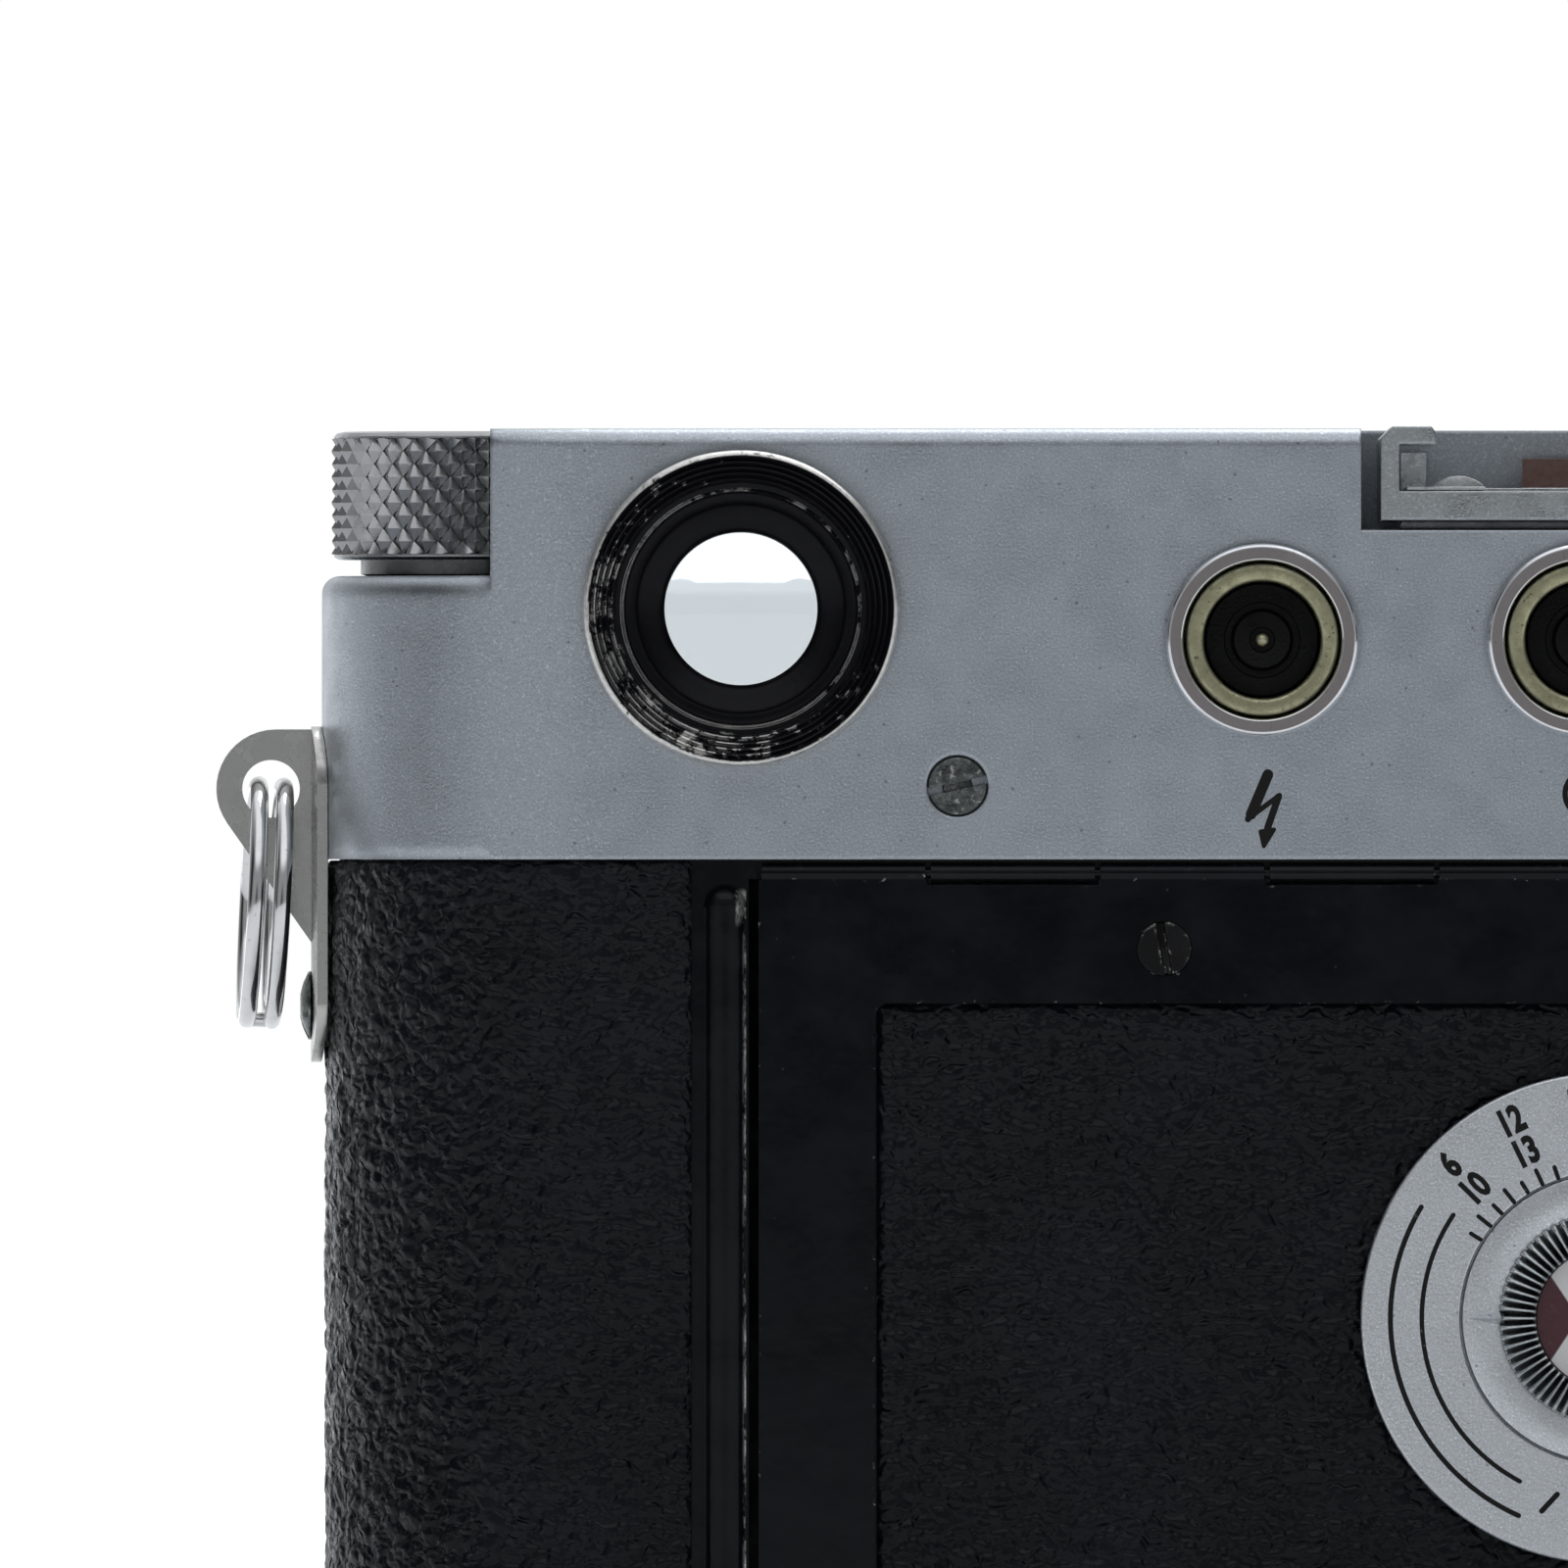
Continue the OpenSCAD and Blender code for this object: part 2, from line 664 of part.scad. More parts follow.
module sprocket() {
    tooth = [[-0.5, 0], [-0.3, 0.95], [0.3, 0.95], [0.5, 0]];
    color([0.7, 0.7, 0.7]) union() {
        post(sprocket_at, 5.2, 14, 52);
        for (z = [lens_z - 16, lens_z + 12.2]) post(sprocket_at, 6.05, z, z + 3.8);
        for (z = [lens_z - 14.1, lens_z + 14.1], i = [0:7])
            translate([sprocket_at[0], sprocket_at[1], z - 0.8]) rotate(45 * i + 22.5)
                translate([0, 5.95, 0]) linear_extrude(1.6) polygon(tooth);
        post(sprocket_at, 1.5, 7.4, gear_z + gear_h);
        translate([sprocket_at[0], sprocket_at[1], gear_z])
            gear(sprocket_teeth, gear_m, 1, gear_h, sprocket_turn);
    }
}

module take_up_spool() color([0.15, 0.15, 0.16]) difference() {
    union() {
        post([hub_x, 0], 5.2, 9, 57);
        for (z = [lens_z - 19, lens_z + 17.8]) post([hub_x, 0], 8.4, z, z + 1.2);
        post([hub_x, 0], 1.5, 56, deck_top - 0.3);
    }
    translate([hub_x - 1, -8, lens_z - 15]) cube([2, 16, 30]);
}

module advance_gear() {
    color([0.72, 0.6, 0.35]) translate([hub_x, 0, gear_z])
        gear(lever_teeth, gear_m, 4.3, gear_h, 0);
}

module idler_gear() {
    color([0.72, 0.6, 0.35]) translate([idler_at[0], idler_at[1], gear_z])
        gear(idler_teeth, gear_m, 0.95, gear_h, idler_turn);
}

module rewind_shaft() color([0.6, 0.6, 0.62]) union() {
    tube([knob_x, 0], 2.4, stem_r + 0.05, deck_z + 0.2, rewind_deck_z - deck_t - 0.3);
    translate([knob_x, 0, gear_z]) gear(rewind_teeth, rewind_m, stem_r + 0.05, gear_h, 0);
}

module rewind_fork() color([0.6, 0.6, 0.62]) union() {
    post([cassette_x, 0], 1.5, 54, gear_z + gear_h + 0.6);
    translate([cassette_x - 2.4, -0.6, 51.5]) cube([4.8, 1.2, 3]);
    post([cassette_x, 0], 2.8, 54.4, deck_z - 0.2);
    translate([cassette_x, 0, gear_z]) gear(rewind_teeth, rewind_m, 1, gear_h, fork_turn);
}

module rewind_knob() {
    profile = [[0, deck_z + 0.4], [stem_r, deck_z + 0.4], [stem_r, rewind_deck_z + 0.15],
               [6.3, rewind_deck_z + 0.15], [6.3, 70.3], [knob_r - 0.5, 70.3], [knob_r, 70.8],
               [knob_r, 76.4], [knob_r - 0.5, 76.9], [3.2, 76.9], [3, 76.5], [0, 76.5]];
    color([0.62, 0.62, 0.62]) translate([knob_x, 0, 0]) rotate_extrude() polygon(profile);
}

// ---- controls on the top ----

module release_collar() color([0.78, 0.79, 0.8]) tube([hub_x, 0], 4.2, button_r + 0.08, deck_top + e, 75.4);

module shutter_button() color([0.8, 0.81, 0.82]) difference() {
    post([hub_x, 0], button_r, 62, 76.6);
    post([hub_x, 0], 1.5, 71.6, 80);
}

module advance_lever() {
    arc_in = dial_r + 1.3;
    color([0.72, 0.73, 0.74]) union() {
        tube([hub_x, 0], hub_r, 4.3, lever_deck_z + 0.3, 74.4);
        tube([hub_x, 0], 5.3, 4.3, gear_z + gear_h + e, lever_deck_z + 0.4);
        difference() {
            intersection() {
                tube(dial_at, arc_in + 4, arc_in, lever_deck_z + 0.5, lever_deck_z + 2.3);
                translate([dial_at[0], dial_at[1], 0]) sector(20, 62, 156, 60, 90);
            }
            post([hub_x, 0], hub_r - 0.5, 60, 90);
        }
        // Upturned thumb tip
        translate([dial_at[0], dial_at[1], 0]) rotate(63) translate([arc_in + 0.2, -0.8, 0]) union() {
            translate([0, 0, lever_deck_z + 0.5]) cube([5.2, 2.2, 3.4]);
            translate([5.2, 1.1, lever_deck_z + 0.5]) cylinder(r = 1.1, h = 3.4);
        }
    }
}

module shutter_speed_dial() {
    profile = [[0, 64.5], [1.8, 64.5], [1.8, lever_deck_z + 0.35], [dial_r - 0.4, lever_deck_z + 0.35],
               [dial_r, 71.8], [dial_r, 75.9], [dial_r - 0.5, 76.5], [0, 76.5]];
    color([0.74, 0.75, 0.76]) translate([dial_at[0], dial_at[1], 0]) rotate_extrude()
        polygon(profile);
}

module counter_dial() color([0.1, 0.1, 0.1]) tube(counter_at, 5.2, 0.85, 68.2, 69);

module counter_window() color([0.85, 0.9, 0.95, 0.4]) post(window_at, window_r - 0.05, lever_deck_z - 0.9, lever_deck_z + 0.1);

// ---- levers and button on the front ----

module lever_bosses() {
    color([0.78, 0.79, 0.8]) for (p = [timer, rewind_lever, selector]) union() {
        bar_y([p[0], p[1]], p[2], -out_r - 0.9, -out_r - e);
        bar_y([p[0], p[1]], pivot_r, -out_r - 2.4, -out_r - 0.8);
    }
}

module front_lever(p, hub, reach, tip, thick, tip_y) {
    y0 = -out_r - 1;
    at = [p[0], p[1]];
    difference() {
        union() {
            bar_y(at, hub, y0 - thick - 0.6, y0);
            plate_y(y0 - thick, y0 - 0.15) translate(at)
                polygon([[-hub * 0.7, 0], [hub * 0.7, 0], [tip, -reach], [-tip, -reach]]);
            bar_y([p[0], p[1] - reach], tip, y0 - thick - tip_y, y0 - 0.15);
        }
        bar_y(at, pivot_r + 0.05, y0 - 1.6, y0 + 1);
    }
}

module self_timer_lever() color([0.76, 0.77, 0.78]) front_lever(timer, 4.4, 16.5, 2.5, 1.6, 0);

module rewind_release_lever() color([0.76, 0.77, 0.78]) front_lever(rewind_lever, 3, 6.5, 1.8, 1.4, 0.8);

module frame_selector_lever() color([0.76, 0.77, 0.78]) front_lever(selector, 2.8, 11.5, 1.8, 1.4, 0.4);

module lens_release_button() color([0.8, 0.81, 0.82]) union() {
    bar_y(release_at, 2.95, -18.2, -12.7);
    bar_y(release_at, 3.9, -12.8, -12);
    bar_y(release_at, 1.4, -12.1, -9);
}

// ---- base plate ----

module base_plate() color([0.74, 0.75, 0.76]) difference() {
    union() {
        difference() {
            translate([0, 0, base_h]) mirror([0, 0, 1]) rounded_slab(out_r, 0, base_h, 1);
            stadium_slab(out_r - 0.7, 1.2, base_h + 1);
        }
        post([lock_x, 0], 12, 0.5, 3.2);
        post([tripod_x, 0], 7, 0.5, 6);
    }
    post([lock_x, 0], lock_r + 0.1, -1, 2);
    post([lock_x, 0], 4.1, 1, 5);
    post([tripod_x, 0], tripod_r, -1, 5);
}

module lock_disc() {
    color([0.72, 0.73, 0.74]) difference() {
        union() {
            post([lock_x, 0], lock_r, 0.1, 1.9);
            post([lock_x, 0], 4, 1.8, 3.6);
            post([lock_x, 0], 6.5, 3.3, 4.3);
        }
        // Half-moon seat of the handle, with room for its hinge barrel
        intersection() {
            post([lock_x, 0], lock_r - 1, 0, 1.4);
            translate([lock_x - 12, -24.2, -1]) cube([24, 25, 5]);
        }
        translate([lock_x - lock_r - 1, 0, 0.7]) rotate([0, 90, 0])
            cylinder(r = 0.38, h = 2 * lock_r + 2);
    }
}

module lock_handle() {
    color([0.78, 0.79, 0.8]) union() {
        translate([lock_x, 0, 0.2]) linear_extrude(1) difference() {
            intersection() {
                circle(lock_r - 1.3);
                translate([-12, -24.3]) square([24, 24.3]);
            }
            intersection() {
                circle(4.4);
                translate([-12, -25.6]) square([24, 24]);
            }
        }
        translate([lock_x - 8, 0, 0.7]) rotate([0, 90, 0]) cylinder(r = 0.55, h = 16);
        translate([lock_x - lock_r + 0.2, 0, 0.7]) rotate([0, 90, 0])
            cylinder(r = 0.35, h = 2 * lock_r - 0.4);
    }
}

// ---- rear door ----

module back_door() {
    color([0.05, 0.055, 0.06]) difference() {
        union() {
            translate([door_x0, door_y0, door_z0]) cube([door_w, out_r - door_y0, door_z1 - door_z0]);
            knuckles(1, pin_r + 0.03);
        }
        for (i = [0:2:9]) translate([door_x0 + i * knuckle_len - 0.05, 10, hinge_z - 0.6])
            cube([knuckle_len + 0.1, 10, 3]);
        plate_y(inset_y, 20) translate([door_cx, (inset_z0 + inset_z1) / 2])
            rounded_rect(door_w - 2 * inset_x, inset_z1 - inset_z0, 0.8);
        for (s = [-1, 1]) {
            bar_y([door_cx + s * door_screw_x, door_screw_z], 0.75, 10, 20);
            bar_y([door_cx + s * door_screw_x, door_screw_z], 1.42, out_r - 0.5, 20);
        }
        translate([door_x0 - 1, hinge_y, hinge_z]) rotate([0, 90, 0])
            cylinder(r = pin_r + 0.03, h = door_w + 2);
    }
}

module door_leather() {
    color([0.08, 0.085, 0.1]) difference() {
        plate_y(inset_y + e, out_r - 0.05) translate([door_cx, (inset_z0 + inset_z1) / 2])
            rounded_rect(door_w - 2 * inset_x - 0.2, inset_z1 - inset_z0 - 0.2, 0.7);
        bar_y([door_cx, scale_z], 9, 10, 20);
    }
}

module door_screws() color([0.08, 0.08, 0.09]) for (s = [-1, 1]) union() {
    back_to([door_cx + s * door_screw_x, door_screw_z], out_r - 0.48) slotted_head(1.38, 0.55, 100);
    bar_y([door_cx + s * door_screw_x, door_screw_z], 0.7, door_y0, out_r - 0.4);
}

module film_speed_scale() color([0.7, 0.7, 0.71]) union() {
    tube_y([door_cx, scale_z], scale_r, pointer_r + 0.08, scale_y0, scale_y1);
}

module film_speed_pointer() color([0.74, 0.74, 0.75]) difference() {
    union() {
        bar_y([door_cx, scale_z], 8.6, inset_y + 0.1, scale_y0 - 0.1);
        bar_y([door_cx, scale_z], pointer_r, scale_y0 - 0.2, scale_y1 - 0.15);
        bar_y([door_cx, scale_z], serrated_r, scale_y1 - 0.2, scale_y1 + 0.8);
        plate_y(scale_y1 - 0.2, scale_y1 + 0.25) translate([door_cx, scale_z])
            polygon([[serrated_r - 0.3, -0.5], [pointer_r - 0.1, 0], [serrated_r - 0.3, 0.5]]);
    }
    bar_y([door_cx, scale_z], symbol_r, 10, 20);
}

module film_type_disc() color([0.85, 0.85, 0.84]) bar_y([door_cx, scale_z], symbol_r - 0.05, inset_y + e, out_r + 0.9);

module pressure_springs() {
    color([0.6, 0.6, 0.6]) for (s = [-1, 1]) translate([lens_x + s * 18, 0, lens_z]) union() {
        translate([-2, 12.9, -12]) cube([4, 0.38, 24]);
        for (t = [-1, 1]) translate([-2, 0, 0]) rotate([90, 0, 90]) linear_extrude(4)
            polygon([[12.95, t * 3], [12.95, t * 4], [11.85, t * 11], [11.6, t * 11]]);
    }
}

module pressure_plate() {
    color([0.12, 0.12, 0.13]) plate_y(film_y + 0.2, film_y + 1.5) translate([lens_x, lens_z])
        rounded_rect(56, 33, 2);
}

// ---- lens ----

module lens_mount() color([0.76, 0.77, 0.78]) union() {
    lens_tube(21, 18.4, flange_h + e, 22.3);
    lens_tube(20.4, 18.2, 14.6, flange_h + 0.5);
    for (a = [45:90:315]) intersection() {
        lens_tube(21.7, 20, 15.2, flange_h - 1.5);
        lens_axis() sector(flange_r, a - 18, a + 18, 15, 17);
    }
    lens_tube(19.4, 18.4, 22.2, 35.2);
    lens_tube(21, 19.3, 31.4, 35.2);
}

module focus_ring() {
    color([0.76, 0.77, 0.78]) union() {
        lens_tube(focus_r, 19.5, 22.45, 31.25);
        // Finger tab
        lens_axis() rotate(-140) difference() {
            translate([focus_r - 1, -4.5, 23.4]) cube([5, 9, 4.6]);
            translate([focus_r + 13.6, 0, 20]) cylinder(r = 11, h = 10);
        }
    }
}

module lens_barrel() color([0.74, 0.75, 0.76]) union() {
    lens_tube(head_r, barrel_in_r, 17, 44);
    lens_tube(17.5, 15.5, 14.6, 17.1);
    lens_tube(20.4, barrel_in_r, 43.2, 46.2);
    lens_tube(20.4, filter_r, 46.1, front_h);
    lens_axis() rotate_extrude() polygon([[barrel_in_r, 46.1], [filter_r + 0.1, 46.1],
                                          [filter_r + 0.1, 49], [barrel_in_r, 46.6]]);
}

module aperture_ring() {
    color([0.76, 0.77, 0.78]) lens_tube(20.9, head_r + 0.05, 36.9, 43.05);
}

module lens_elements() color([0.7, 0.8, 0.9, 0.35]) lens_axis() {
    intersection() {
        translate([0, 0, 40]) cylinder(r = barrel_in_r - 0.05, h = 8);
        translate([0, 0, 48 - 32]) sphere(32);
    }
    intersection() {
        translate([0, 0, 18.5]) cylinder(r = barrel_in_r - 0.05, h = 8);
        translate([0, 0, 19 + 30]) sphere(30);
    }
}

module iris_blades() {
    color([0.1, 0.1, 0.1]) lens_axis() difference() {
        translate([0, 0, 34]) cylinder(r = barrel_in_r - 0.05, h = 0.5);
        translate([0, 0, 33]) cylinder(r = 7, h = 3, $fn = 10);
    }
}

module rangefinder_arm() {
    pivot = [lens_x - 19, -9.2];
    color([0.7, 0.62, 0.4]) difference() {
        union() {
            post(pivot, 1.6, 48.9, 51);
            translate([pivot[0], -10, 49.2]) cube([19, 1.4, 1.4]);
            translate([lens_x - 1, -12.2, 49.2]) cube([2, 2.6, 1.4]);
            post([lens_x, -12.35], 2.2, 48.9, 50.5);
        }
        post(pivot, pivot_r + 0.05, 40, 60);
    }
}

body_shell();
leather_cover();
chassis();
top_cover();
mount_flange();
slotted_screws();
window_bezels();
finder_windows();
illumination_window();
eyepiece_ring();
eyepiece_lens();
finder_optics();
socket_rings();
socket_bushes();
socket_insulators();
accessory_shoe();
shoe_spring();
strap_lugs();
hinge_pin();
shutter_curtain();
release_collar();
counter_window();
lever_bosses();
lens_mount();
base_plate();
lock_disc();
lock_handle();
back_door();
door_leather();
door_screws();
film_speed_scale();
film_type_disc();
pressure_springs();
pressure_plate();
film_speed_pointer();
advance_lever();
advance_gear();
shutter_button();
shutter_speed_dial();
idler_gear();
sprocket();
take_up_spool();
curtain_drum();
curtain_roller();
rewind_shaft();
rewind_knob();
rewind_fork();
rewind_release_lever();
self_timer_lever();
frame_selector_lever();
lens_release_button();
strap_ring_rewind_end();
strap_ring_lever_end();
counter_dial();
rangefinder_arm();
focus_ring();
lens_barrel();
lens_elements();
iris_blades();
aperture_ring();
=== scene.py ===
import math

import bmesh
import bpy
import numpy as np
from mathutils import Matrix, Vector


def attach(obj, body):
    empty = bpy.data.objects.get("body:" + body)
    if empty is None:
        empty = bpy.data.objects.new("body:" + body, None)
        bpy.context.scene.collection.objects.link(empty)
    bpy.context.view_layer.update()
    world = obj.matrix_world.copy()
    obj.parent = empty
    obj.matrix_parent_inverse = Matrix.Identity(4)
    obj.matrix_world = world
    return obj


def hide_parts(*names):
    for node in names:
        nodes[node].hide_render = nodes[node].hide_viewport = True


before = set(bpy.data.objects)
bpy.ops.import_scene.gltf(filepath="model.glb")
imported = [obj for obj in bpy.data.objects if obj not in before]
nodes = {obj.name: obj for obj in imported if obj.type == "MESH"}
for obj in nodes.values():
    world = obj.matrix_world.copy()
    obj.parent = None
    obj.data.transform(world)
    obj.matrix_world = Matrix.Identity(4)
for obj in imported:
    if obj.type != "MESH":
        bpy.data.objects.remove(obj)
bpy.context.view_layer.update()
MM = 0.001

# Places in millimetres, as in the CAD source
OUT_R, END_X = 15.0, 54.0
DOOR_AT = (3.35, 31.6)
LENS_AT = (4.0, 33.0)
EYE_AT = (47.5, 67.8)
SOCKETS = ((20.9, 66.2), (4.5, 66.2))
DIAL_AT = (-35.6, -1.0)
KNOB_X = 60.75


# ---------------------------------------------------------------- node helpers

class Nodes:
    """Short calls for building the node tree of a new material, or of the world given as owner.
    Scales are features per millimetre."""

    def __init__(self, name, owner=None):
        self.mat = owner or bpy.data.materials.new(name)
        self.mat.use_nodes = True
        self.tree = self.mat.node_tree
        self.bsdf = self.tree.nodes.get("Principled BSDF")
        self.where = self.tree.nodes.new("ShaderNodeTexCoord").outputs["Object"]

    def set(self, **values):
        for key, value in values.items():
            self.link(value, self.bsdf.inputs[key.replace("_", " ")])
        return self.mat

    def node(self, kind, **settings):
        made = self.tree.nodes.new(kind)
        for key, value in settings.items():
            setattr(made, key, value)
        return made

    def link(self, value, socket):
        if isinstance(value, bpy.types.NodeSocket):
            self.tree.links.new(value, socket)
        else:
            socket.default_value = value

    def stretch(self, x, y, z):
        n = self.node("ShaderNodeVectorMath", operation="MULTIPLY")
        self.link(self.where, n.inputs[0])
        n.inputs[1].default_value = (x, y, z)
        return n.outputs[0]

    def noise(self, scale, detail=3.0, rough=0.5, where=None):
        n = self.node("ShaderNodeTexNoise")
        self.link(where or self.where, n.inputs["Vector"])
        n.inputs["Scale"].default_value = scale / MM
        n.inputs["Detail"].default_value = detail
        n.inputs["Roughness"].default_value = rough
        return n.outputs["Fac"]

    def cells(self, scale):
        n = self.node("ShaderNodeTexVoronoi", feature="F1")
        self.link(self.where, n.inputs["Vector"])
        n.inputs["Scale"].default_value = scale / MM
        return n.outputs["Distance"]

    def ramp(self, fac, low, high, a=0.0, b=1.0):
        n = self.node("ShaderNodeMapRange", interpolation_type="SMOOTHSTEP")
        self.link(fac, n.inputs["Value"])
        for key, value in (("From Min", low), ("From Max", high), ("To Min", a), ("To Max", b)):
            n.inputs[key].default_value = value
        return n.outputs["Result"]

    def math(self, op, a, b=0.0, c=0.0):
        n = self.node("ShaderNodeMath", operation=op)
        for i, v in enumerate((a, b, c)):
            self.link(v, n.inputs[i])
        return n.outputs[0]

    def times(self, a, b):
        return self.math("MULTIPLY", a, b)

    def plus(self, a, b):
        return self.math("ADD", a, b)

    def minus(self, a, b):
        return self.math("SUBTRACT", a, b)

    def most(self, a, b):
        return self.math("MAXIMUM", a, b)

    def mix(self, fac, a, b):
        n = self.node("ShaderNodeMix", data_type="RGBA")
        self.link(fac, n.inputs[0])
        self.link(a, n.inputs[6])
        self.link(b, n.inputs[7])
        return n.outputs[2]

    def bump(self, height, distance_mm, normal=None):
        n = self.node("ShaderNodeBump")
        self.link(height, n.inputs["Height"])
        n.inputs["Distance"].default_value = distance_mm * MM
        n.inputs["Strength"].default_value = 1.0
        if normal is not None:
            self.link(normal, n.inputs["Normal"])
        return n.outputs["Normal"]

    def xyz(self):
        """The three coordinates in millimetres."""
        n = self.node("ShaderNodeSeparateXYZ")
        self.link(self.where, n.inputs[0])
        return [self.times(n.outputs[i], 1000.0) for i in range(3)]

    def edges(self, radius_mm, low=0.0005, high=0.02):
        """1 near sharp edges, 0 on open faces: how far a bevelled normal leans from the true one."""
        bevel = self.node("ShaderNodeBevel", samples=6)
        bevel.inputs["Radius"].default_value = radius_mm * MM
        plain = self.node("ShaderNodeNewGeometry")
        dot = self.node("ShaderNodeVectorMath", operation="DOT_PRODUCT")
        self.link(bevel.outputs["Normal"], dot.inputs[0])
        self.link(plain.outputs["Normal"], dot.inputs[1])
        lean = self.minus(1.0, dot.outputs["Value"])
        return self.ramp(lean, low, high)

    def gap_dirt(self, reach_mm):
        """Painted shade mask from occlusion: 1 deep in seams and round sunk parts, 0 in the open."""
        hidden = self.node("ShaderNodeAmbientOcclusion", samples=6)
        hidden.inputs["Distance"].default_value = reach_mm * MM
        return self.ramp(hidden.outputs["AO"], 0.62, 0.30)

    def near(self, value, middle, half_width, soft=0.3):
        """1 within half_width of middle, falling off over soft millimetres."""
        gap = self.math("ABSOLUTE", self.minus(value, middle))
        return self.ramp(gap, half_width, half_width + soft, 1.0, 0.0)

    def radius(self, a, b, at):
        """Distance in millimetres from the point at in the plane of coordinates a and b."""
        p = self.xyz()
        da = self.minus(p[a], at[0])
        db = self.minus(p[b], at[1])
        return self.math("SQRT", self.plus(self.times(da, da), self.times(db, db)))


def rgb(r, g, b):
    return (r, g, b, 1.0)


def shade(tone, k):
    return rgb(*[min(1.0, t * k) for t in tone])


# ---------------------------------------------------------------- materials

def satin(name, tone, grain=1.0, rough=(0.30, 0.40), rounding=0.0, seams=0.0):
    """Satin chrome: a dense fine grain, dark pin specks, soft stains and a few hairlines; with seams,
    painted shade in seams and sunk parts.
    """
    m = Nodes(name)
    bright = m.ramp(m.noise(9, 2), 0.60, 0.74)
    speck = m.ramp(m.noise(9, 3, 0.7), 0.60, 0.36)
    pits = m.ramp(m.cells(0.9), 0.10, 0.05)
    dirt = m.times(m.ramp(m.noise(2.6, 5, 0.7), 0.60, 0.74), 0.22)
    stain = m.times(m.ramp(m.noise(0.06, 4, 0.6), 0.35, 0.7), 0.35)
    base = m.mix(stain, rgb(*tone), shade(tone, 0.88))
    base = m.mix(dirt, base, shade(tone, 0.74))
    base = m.mix(m.times(speck, 0.6), base, shade(tone, 0.68))
    base = m.mix(m.times(bright, 0.7), base, shade(tone, 1.5))
    base = m.mix(m.times(pits, 0.5), base, rgb(0.1, 0.1, 0.1))
    round_edge = None
    if rounding:
        round_edge = m.node("ShaderNodeBevel", samples=6)
        # The rewind deck has a softer edge than the rest
        deck = m.times(m.ramp(m.xyz()[0], 60.0, 60.8), 0.8)
        m.link(m.times(m.plus(deck, rounding), MM), round_edge.inputs["Radius"])
        round_edge = round_edge.outputs["Normal"]
    if seams:
        # Painted shade: seams and sunk parts darkened by occlusion
        base = m.mix(m.gap_dirt(seams), base, shade(tone, 0.25))
    grit = m.bump(m.noise(6, 3, 0.6), 0.012 * grain, round_edge)
    hair = m.ramp(m.noise(0.5, 2, 0.5, m.stretch(12, 12, 0.5)), 0.70, 0.76)
    return m.set(Base_Color=base, Metallic=1.0, Roughness=m.ramp(m.noise(0.5, 4), 0.3, 0.7, *rough),
        Normal=m.bump(m.times(hair, -1.0), 0.004, grit))


def polished(name, tone, rough=0.10, streak=(1, 1, 12), fine=0.0007):
    """Polished plating with light handling marks, thin streaks and worn, duller patches."""
    m = Nodes(name)
    haze = m.ramp(m.noise(0.9, 5, 0.65), 0.45, 0.75)
    lines = m.noise(1.5, 2, 0.5, m.stretch(*streak))
    spots = m.times(m.ramp(m.noise(3.5, 4, 0.7), 0.62, 0.72), 0.6)
    base = m.mix(m.times(haze, 0.4), rgb(*tone), shade(tone, 0.72))
    base = m.mix(spots, base, shade(tone, 0.45))
    return m.set(Base_Color=base, Metallic=1.0, Roughness=m.ramp(haze, 0, 1, rough, rough + 0.16),
        Normal=m.bump(lines, fine))


def worn_black(name, tone, metal, rough=(0.12, 0.26), wear=0.0, gloss=0.14):
    """Black finish over metal: smears, dust specks, and the metal showing at worn edges."""
    m = Nodes(name)
    smear = m.ramp(m.noise(0.25, 5, 0.65), 0.35, 0.75)
    dust = m.ramp(m.cells(0.55), 0.05, 0.02)
    base = m.mix(smear, rgb(*tone), shade(tone, 1.7))
    base = m.mix(m.times(dust, 0.08), base, rgb(0.3, 0.3, 0.31))
    metallic = 0.0
    if wear:
        edge = m.edges(0.22)
        worn = m.times(edge, m.ramp(m.noise(1.6, 6, 0.75), 0.60 - 0.16 * wear, 0.68 - 0.14 * wear))
        base = m.mix(worn, base, rgb(*metal))
        metallic = worn
    return m.set(Base_Color=base, Metallic=metallic, Specular_IOR_Level=gloss,
        Roughness=m.ramp(smear, 0, 1, *rough), Normal=m.bump(m.noise(0.35, 3), 0.008))


def leather_look(name, tone):
    """Black leather: fine pores and folds over the modelled grain, smoother in random patches."""
    m = Nodes(name)
    pore = m.cells(3.6)

    def creases(scale, width, squash):
        wave = m.noise(scale, 1, 0.4, m.stretch(1.0, 1.0, squash))
        return m.ramp(m.math("ABSOLUTE", m.minus(wave, 0.5)), 0.0, width)
    base = m.mix(m.ramp(m.noise(0.12, 4, 0.6), 0.3, 0.7), shade(tone, 0.75), shade(tone, 1.3))
    first = m.bump(creases(0.55, 0.13, 1.5), 0.11)
    second = m.bump(creases(1.0, 0.15, 1.2), 0.07, first)
    third = m.bump(m.noise(2.0, 3, 0.5), 0.012, second)
    return m.set(Base_Color=base, Roughness=m.ramp(m.noise(0.6, 4), 0.3, 0.7, 0.20, 0.32),
        Specular_IOR_Level=0.14, Normal=m.bump(m.ramp(pore, 0.0, 0.3), 0.010, third))


def old_screw():
    """Old screw head: dark oxide with paler rubbed flecks and painted shade in the slot."""
    m = Nodes("old_screw")
    oxide = m.ramp(m.noise(1.0, 5, 0.7), 0.35, 0.65)
    fleck = m.ramp(m.noise(3.2, 4, 0.7), 0.56, 0.66)
    base = m.mix(oxide, rgb(0.055, 0.062, 0.060), rgb(0.17, 0.185, 0.18))
    base = m.mix(m.times(fleck, 0.7), base, rgb(0.50, 0.51, 0.48))
    # Painted shade in the slot, from occlusion
    base = m.mix(m.gap_dirt(0.5), base, rgb(0.006, 0.006, 0.006))
    return m.set(Base_Color=base, Metallic=0.9, Roughness=m.ramp(fleck, 0, 1, 0.28, 0.45),
        Normal=m.bump(m.noise(3, 4), 0.03))


